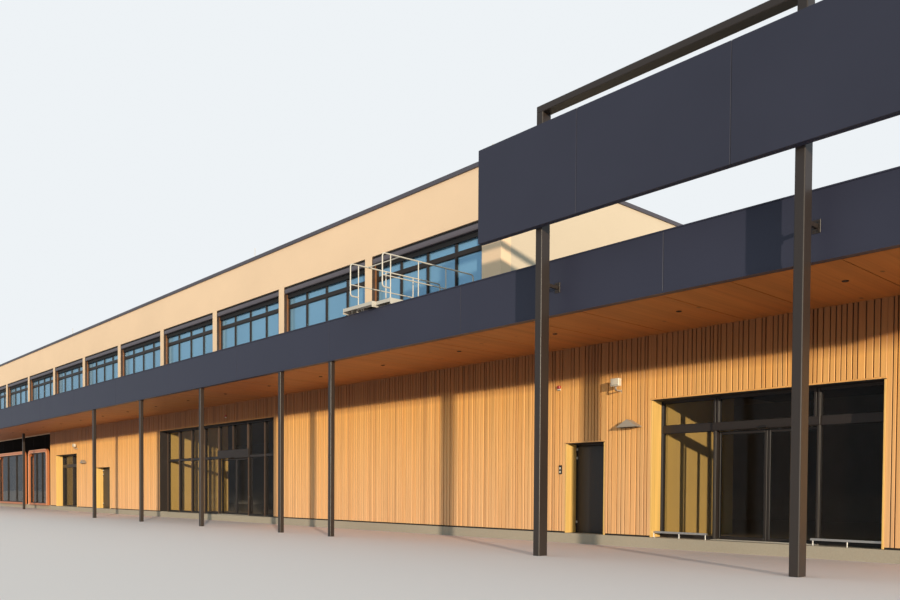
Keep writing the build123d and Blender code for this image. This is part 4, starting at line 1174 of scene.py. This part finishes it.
def rounded_path(points, radius):
    """A path's corners replaced by short curves of five steps."""
    steps = 5
    result = [Vector(points[0])]
    for before, corner, after in zip(points, points[1:], points[2:]):
        corner = Vector(corner)
        start = corner + (Vector(before) - corner).normalized() * radius
        end = corner + (Vector(after) - corner).normalized() * radius
        for i in range(steps + 1):
            t = i / steps
            result.append(start * (1 - t) ** 2 + corner * 2 * t * (1 - t) + end * t ** 2)
    result.append(Vector(points[-1]))
    return result


class SHOP_OT_guard_rails(bpy.types.Operator):
    """Bend the round guard rails and fold the planks of the platform"""
    bl_idname = "shop.guard_rails"
    bl_label = "Guard rails and platform"

    def execute(self, context):
        lo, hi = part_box("guard_rails")
        deck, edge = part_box("canopy_deck")[1].z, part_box("canopy_fascia")[0].y
        step_lo, step_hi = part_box("roof_platform")
        top = hi.z - 0.010
        knee, low = top - 0.275, top - 0.425
        front, back = lo.y + 0.010, hi.y - 0.010
        rail_x = (lo.x + 0.010, hi.x - 0.010)
        # Radii of the handrails, the knee rails and the posts.
        thick, slim, post = 0.0095, 0.0075, 0.0080
        rails = Shape()
        for x in rail_x:
            corners = [(x, back, deck), (x, back, top), (x, front, top), (x, front, low),
                       (x, front + 0.130, low)]
            rails.add(tube(rounded_path(corners, 0.045), thick))
            rails.add(tube([(x, front, knee), (x, back, knee)], slim))
            for place in (0.130, 0.590, 1.070):
                foot = step_hi.z if place < 0.3 else deck
                y = front + place
                rails.add(tube([(x, y, foot), (x, y, top)], post))
                rails.box(around(x, 0.018), around(y, 0.014), (foot, foot + 0.005), FINE)
        cross = front + 0.285
        rails.add(tube([(x, cross, top) for x in rail_x], post))
        piece("round_guard_rails", rails, "zinc", replaces=("guard_rails",), smooth=True)

        planks = Shape()
        z1, sheet, drop = step_hi.z, 0.005, 0.045
        for x0, x1, y0, y1 in ((step_lo.x, step_lo.x + 0.650, step_lo.y, step_lo.y + 0.250),
                               (rail_x[0] - 0.020, step_hi.x, edge - 0.038, step_hi.y)):
            planks.prism([(y0, z1 - drop), (y0 + sheet, z1 - drop), (y0 + sheet, z1 - 0.006),
                          (y1 - sheet, z1 - 0.006), (y1 - sheet, z1 - drop), (y1, z1 - drop),
                          (y1, z1 - 0.001), (y0, z1 - 0.001)], 0, x0 + sheet, x1 - sheet)
            ribs = int((y1 - y0 - 0.030) / 0.022)
            for i in range(ribs + 1):
                y = y0 + 0.015 + i * (y1 - y0 - 0.030) / ribs
                planks.box(inset((x0, x1), 0.012), around(y, 0.004), (z1 - 0.001, z1 + 0.002), 0.0008)
            for x in ends((x0, x1), sheet):
                planks.box(x, (y0, y1), (step_lo.z + 0.002, z1 + 0.002), FINE)
            for x in (x0 + 0.06, (x0 + x1) / 2, x1 - 0.06):
                planks.box(around(x, 0.015), (max(y0 + 0.01, edge + 0.003), y1 - 0.010),
                           (step_lo.z, z1 - 0.006), FINE)
        piece("escape_planks", planks, "zinc", replaces=("roof_platform",))
        return {"FINISHED"}


def rounded_post(shape, x, y, z, radius):
    """An upright tube with soft arrises, as the rolled ones have."""
    corners = ((x[0], y[0], 180), (x[1], y[0], 270), (x[1], y[1], 0), (x[0], y[1], 90))
    outline = []
    for cx, cy, turn in corners:
        middle_x = cx + radius * (1 if cx == x[0] else -1)
        middle_y = cy + radius * (1 if cy == y[0] else -1)
        for i in range(5):
            angle = math.radians(turn + i * 22.5)
            outline.append((middle_x + radius * math.cos(angle), middle_y + radius * math.sin(angle)))
    shape.prism(outline, 2, *z)


class SHOP_OT_columns(bpy.types.Operator):
    """Columns of the canopy and the frame that carries the sign board"""
    bl_idname = "shop.columns"
    bl_label = "Columns and sign portal"

    def execute(self, context):
        columns, posts, brackets, board = (Shape() for _ in range(4))
        slim, plate = 0.007, 0.012
        for lo, hi in solids("canopy_columns"):
            x, y, _ = zip(lo, hi)
            rounded_post(columns, inset(x, slim), inset(y, slim), (lo.z, hi.z - plate), 0.009)
            columns.box(x, y, (hi.z - plate, hi.z), 0.0015)
        for lo, hi in solids("sign_posts"):
            rounded_post(posts, *zip(lo, hi), 0.010)
        rail = Shape().box(*zip(*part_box("sign_top_rail")), 0.006)
        for lo, hi in solids("sign_brackets"):
            x, _, z = zip(lo, hi)
            middle_x, middle_z, foot = sum(x) / 2, sum(z) / 2, hi.y - plate
            brackets.box(around(middle_x, 0.015), (lo.y, foot), around(middle_z, 0.017), ARRIS)
            brackets.box(x, (foot, hi.y), z, ARRIS)
            brackets.box(x, (lo.y, lo.y + 0.008), around(middle_z, 0.040), FINE)
            for level in inset(z, 0.018):
                for place in inset(x, 0.014):
                    brackets.cylinder((place, level), 1, 0.006, hi.y - 0.020, foot, 6)
        for name, shape, node in (("tube_columns", columns, "canopy_columns"),
                                  ("portal_posts", posts, "sign_posts"),
                                  ("portal_rail", rail, "sign_top_rail"),
                                  ("portal_brackets", brackets, "sign_brackets")):
            piece(name, shape, "steel", replaces=(node,))

        lo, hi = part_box("sign_board")
        x, y, z = zip(lo, hi)
        post_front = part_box("sign_posts")[0].y
        panel, half_joint, sheet, rim, rib = 1.330, 0.002, 0.030, 0.060, 0.050
        front, rear = ends(y, sheet)
        edges = (lo.x, *inset(x, panel), hi.x)
        for start, end in zip(edges, edges[1:]):
            open_joints = (start + half_joint * (start > lo.x), end - half_joint * (end < hi.x))
            board.box(open_joints, front, z, ARRIS)
        board.box(inset(x, 0.003), (lo.y + 0.028, rear[0]), inset(z, 0.003))
        for level in ends(z, rim):
            board.box(x, rear, level, ARRIS)
        for start in (*edges[:3], hi.x - rib):
            board.box((start, start + rib), rear, inset(z, rim), ARRIS)
        for post_lo, post_hi in solids("sign_posts"):
            strap = inset((post_lo.x, post_hi.x), -0.03)
            for level in (lo.z + 0.20, hi.z - 0.26):
                board.box(strap, (hi.y - 0.034, post_front), (level, level + rim), ARRIS)
        piece("bare_sign_board", board, "sign", replaces=("sign_board",))
        return {"FINISHED"}


class SHOP_OT_fittings(bpy.types.Operator):
    """Lamps, floodlights, alarms and keypad on the clad wall"""
    bl_idname = "shop.fittings"
    bl_label = "Wall fittings"

    def execute(self, context):
        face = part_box("front_wall")[0].y
        housings, lamps, arms, darks, reds, squares = (Shape() for _ in range(6))
        for lo, hi in solids("wall_fittings"):
            x, y, z = zip(lo, hi)
            wide, tall, middle = hi.x - lo.x, hi.z - lo.z, sum(x) / 2
            if wide > 0.25:
                # A wedge lamp with a dark underside and a box behind it.
                lamps.prism([(lo.x, lo.z + 0.010), (middle, hi.z), (hi.x, lo.z + 0.010)], 1, *y)
                lamps.box(x, y, (lo.z + 0.004, lo.z + 0.012), FINE)
                darks.box(inset(x, 0.012), (lo.y + 0.010, hi.y), (lo.z, lo.z + 0.005), FINE)
                darks.box(around(middle, 0.035), (hi.y - 0.012, hi.y), (lo.z - 0.002, lo.z + 0.070), ARRIS)
            elif wide > 0.1:
                # A floodlight with cooling ribs, on a bent arm.
                head, back = (hi.z - 0.092, hi.z), lo.y + 0.060
                housings.box(x, (lo.y, back), head, 0.005)
                for i in range(5):
                    rib = lo.x + 0.020 + i * 0.020
                    housings.box(around(rib, 0.003), (back, back + 0.006), inset(head, 0.008), FINE)
                darks.box(inset(x, 0.010), (lo.y - 0.001, lo.y + 0.002), (head[0] + 0.010, head[0] + 0.014))
                low, reach = hi.z - 0.070 - 0.075, face - 0.130
                arms.box(around(middle, 0.008), (reach, face), (low, low + 0.016), ARRIS)
                arms.box(around(middle, 0.008), (reach, face - 0.114), (low, head[0]), ARRIS)
                arms.box(around(middle, 0.028), (face - 0.010, face), (low - 0.020, low + 0.036), ARRIS)
            elif tall < 0.1:
                # An alarm: a red lens on a pale base with two feet.
                wider, red_from = inset(x, -0.006), lo.z + 0.022
                housings.box(wider, (lo.y + 0.002, hi.y), (lo.z + 0.002, red_from), ARRIS)
                reds.box(wider, (lo.y - 0.010, hi.y), (red_from, hi.z + 0.012), 0.009)
                for foot in (lo.x + 0.002, hi.x - 0.012):
                    darks.box((foot, foot + 0.010), (lo.y + 0.002, hi.y), (lo.z, lo.z + 0.007), FINE)
            else:
                # A keypad with two pale squares.
                darks.box(x, y, z, 0.003)
                for level in (hi.z - 0.052, lo.z + 0.016):
                    squares.box(around(middle, 0.013), (lo.y - 0.0015, lo.y + 0.001), (level, level + 0.026),
                                0.0005)
        piece("lamp_housings", housings, "plastic", replaces=("wall_fittings",))
        for name, shape, finish in (("wedge_lamps", lamps, "lamp"), ("lamp_arms", arms, "lamp"),
                                    ("fitting_shadows", darks, "dark"), ("alarm_lenses", reds, "red"),
                                    ("keypad_squares", squares, "plastic")):
            piece(name, shape, finish)
        return {"FINISHED"}


def arch(x, z, radius):
    """Outline of a frame with rounded upper corners, from its left foot to its right foot."""
    steps = 8
    points = [(x[0], z[0])]
    for centre, start in ((x[0] + radius, math.pi), (x[1] - radius, math.pi / 2)):
        for i in range(steps + 1):
            angle = start - math.pi / 2 * i / steps
            points.append((centre + radius * math.cos(angle), z[1] - radius + radius * math.sin(angle)))
    return points + [(x[1], z[0])]


class SHOP_OT_shop_front(bpy.types.Operator):
    """Sashes and panel joints of the recessed shop front"""
    bl_idname = "shop.shop_front"
    bl_label = "Recessed shop front"

    def execute(self, context):
        lo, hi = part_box("shop_frieze")
        face = lo.y
        seams, lips, sashes = Shape(), Shape(), Shape()
        for i in range(1, 6):
            place = lo.x + i * (hi.x - lo.x) / 6
            seams.box(around(place, 0.003), (face - 0.002, face + 0.001), (lo.z + 0.12, hi.z))
        piece("shop_panel_joints", seams, "dark")
        radius, band, wide = 0.210, 0.100, 0.016
        bar, sill = 0.024, 0.060
        y = (face - 0.030, face)
        for low, high in solids("shop_window_frames"):
            x = (low.x, high.x)
            for by in (0.0, band - wide):
                outer = arch(inset(x, by), (low.z, high.z - by), radius - by)
                inner = arch(inset(x, by + wide), (low.z, high.z - by - wide), max(radius - by - wide, 0.01))
                lips.prism(outer + inner[::-1], 1, *around(low.y, 0.004))
            left, right = light = inset(x, band)
            z = (low.z + sill, high.z - band)
            for third in (1, 2):
                sashes.box(around(left + (right - left) * third / 3, bar / 2), y, z, ARRIS)
            for side in ends(light, bar):
                sashes.box(side, y, (z[0], z[1] - 0.10), ARRIS)
            sashes.box(light, y, (z[0], z[0] + bar), ARRIS)
            sashes.box(inset(light, 0.02), y, (z[1] - bar, z[1]), ARRIS)
        piece("shop_frame_lips", lips, "shop_lip")
        piece("shop_sashes", sashes, "window")
        return {"FINISHED"}


class SHOP_OT_stage(bpy.types.Operator):
    """Floor, light and camera"""
    bl_idname = "shop.stage"
    bl_label = "Stage"

    def execute(self, context):
        self.add_floor(context.scene.shop_stage)
        self.add_sky(context)
        self.add_sun(context.scene.shop_stage)
        self.add_camera(context)
        context.scene.view_settings.view_transform = "Standard"
        return {"FINISHED"}

    @staticmethod
    def add_floor(rules):
        shape = Shape()
        bmesh.ops.create_grid(shape.mesh, x_segments=1, y_segments=1, size=400.0)
        mesh = shape.to_mesh("floor")
        made, tree, shader, _ = material("plain_pale_floor")
        feed(tree, shader, Base_Color=(*rules.floor, 1), Roughness=0.9)
        mesh.materials.append(made)
        linked("floor", mesh)

    @staticmethod
    def add_sky(context):
        """A pale backdrop, a bluish sky that fades to the horizon as light, and a calm one to mirror."""
        rules = context.scene.shop_stage
        world = context.scene.world = bpy.data.worlds.new("studio")
        world.use_nodes = True
        tree = world.node_tree
        tree.nodes.clear()

        def background(colour, strength):
            return add_node(tree, "ShaderNodeBackground", Color=colour, Strength=strength).outputs[0]

        def choice(factor, other, chosen):
            return add_node(tree, "ShaderNodeMixShader", i0=factor, i1=other, i2=chosen).outputs[0]

        ray = add_node(tree, "ShaderNodeLightPath").outputs
        height = axes(tree, add_node(tree, "ShaderNodeTexCoord").outputs["Generated"])[2]
        tint = (0.67, 0.84, 1.12)
        dome = ramp(tree, height, [(0.05, shade(tint, rules.haze)), (0.22, shade(tint, rules.sky))])
        calm = background((0.80, 0.90, 1.0, 1), rules.gleam)
        light = choice(ray["Is Glossy Ray"], background(dome, 1.0), calm)
        seen = choice(ray["Is Camera Ray"], light, background((0.90, 0.94, 0.97, 1), 0.95))
        add_node(tree, "ShaderNodeOutputWorld", Surface=seen)

    @staticmethod
    def add_sun(rules):
        """A low, warm evening sun from the right."""
        lamp = bpy.data.lights.new("key", "SUN")
        lamp.energy = rules.sun
        lamp.angle = math.radians(0.9)
        lamp.color = (1.0, 0.87, 0.66)
        side, rise = math.radians(62), math.radians(6.5)
        toward = Vector((math.sin(side) * math.cos(rise), -math.cos(side) * math.cos(rise), math.sin(rise)))
        linked("key", lamp).rotation_euler = toward.to_track_quat("Z", "Y").to_euler()

    @staticmethod
    def add_camera(context):
        """The photo's camera, as fitted to its straight edges."""
        place = (18.120, -11.1025, 0.6345)
        yaw, pitch, roll = 0.8379, -0.0228, 0.0062
        ahead = Vector((-math.sin(yaw) * math.cos(pitch), math.cos(yaw) * math.cos(pitch), math.sin(pitch)))
        right = Vector((math.cos(yaw), math.sin(yaw), 0))
        up = right.cross(ahead)
        tilted_right = right * math.cos(roll) + up * math.sin(roll)
        tilted_up = up * math.cos(roll) - right * math.sin(roll)
        lens = bpy.data.cameras.new("camera")
        lens.sensor_fit = "HORIZONTAL"
        lens.sensor_width = 36
        lens.lens = 32.871
        lens.shift_y = 0.2345
        lens.clip_start = 0.05
        lens.clip_end = 2000
        camera = linked("camera", lens)
        turn = Matrix((tilted_right, tilted_up, -ahead)).transposed().to_4x4()
        camera.matrix_world = Matrix.Translation(place) @ turn
        context.scene.camera = camera


class SHOP_PT_panel(bpy.types.Panel):
    """Lists the operators of the building"""
    bl_idname = "SHOP_PT_panel"
    bl_label = "Supermarket building"
    bl_space_type = "VIEW_3D"
    bl_region_type = "UI"
    bl_category = "Supermarket"

    def draw(self, context):
        for operator in OPERATORS:
            self.layout.operator(operator.bl_idname)


SETTINGS = {
    "shop_finishes": FinishSettings,
    "shop_cladding": CladdingSettings,
    "shop_canopy": CanopySettings,
    "shop_entrances": EntranceSettings,
    "shop_windows": WindowSettings,
    "shop_stage": StageSettings,
}
OPERATORS = (SHOP_OT_finishes, SHOP_OT_battens, SHOP_OT_linings, SHOP_OT_entrances, SHOP_OT_leaves,
             SHOP_OT_steel_doors, SHOP_OT_soffit, SHOP_OT_fascia, SHOP_OT_window_band, SHOP_OT_guard_rails,
             SHOP_OT_columns, SHOP_OT_fittings, SHOP_OT_shop_front, SHOP_OT_stage)
CLASSES = tuple(SETTINGS.values()) + OPERATORS + (SHOP_PT_panel,)


def register():
    for item in CLASSES:
        bpy.utils.register_class(item)
    for name, group in SETTINGS.items():
        setattr(bpy.types.Scene, name, PointerProperty(type=group))


def unregister():
    for name in SETTINGS:
        delattr(bpy.types.Scene, name)
    for item in reversed(CLASSES):
        bpy.utils.unregister_class(item)


def main():
    register()
    for operator in OPERATORS:
        group, name = operator.bl_idname.split(".")
        getattr(getattr(bpy.ops, group), name)()


if __name__ == "__main__":
    main()
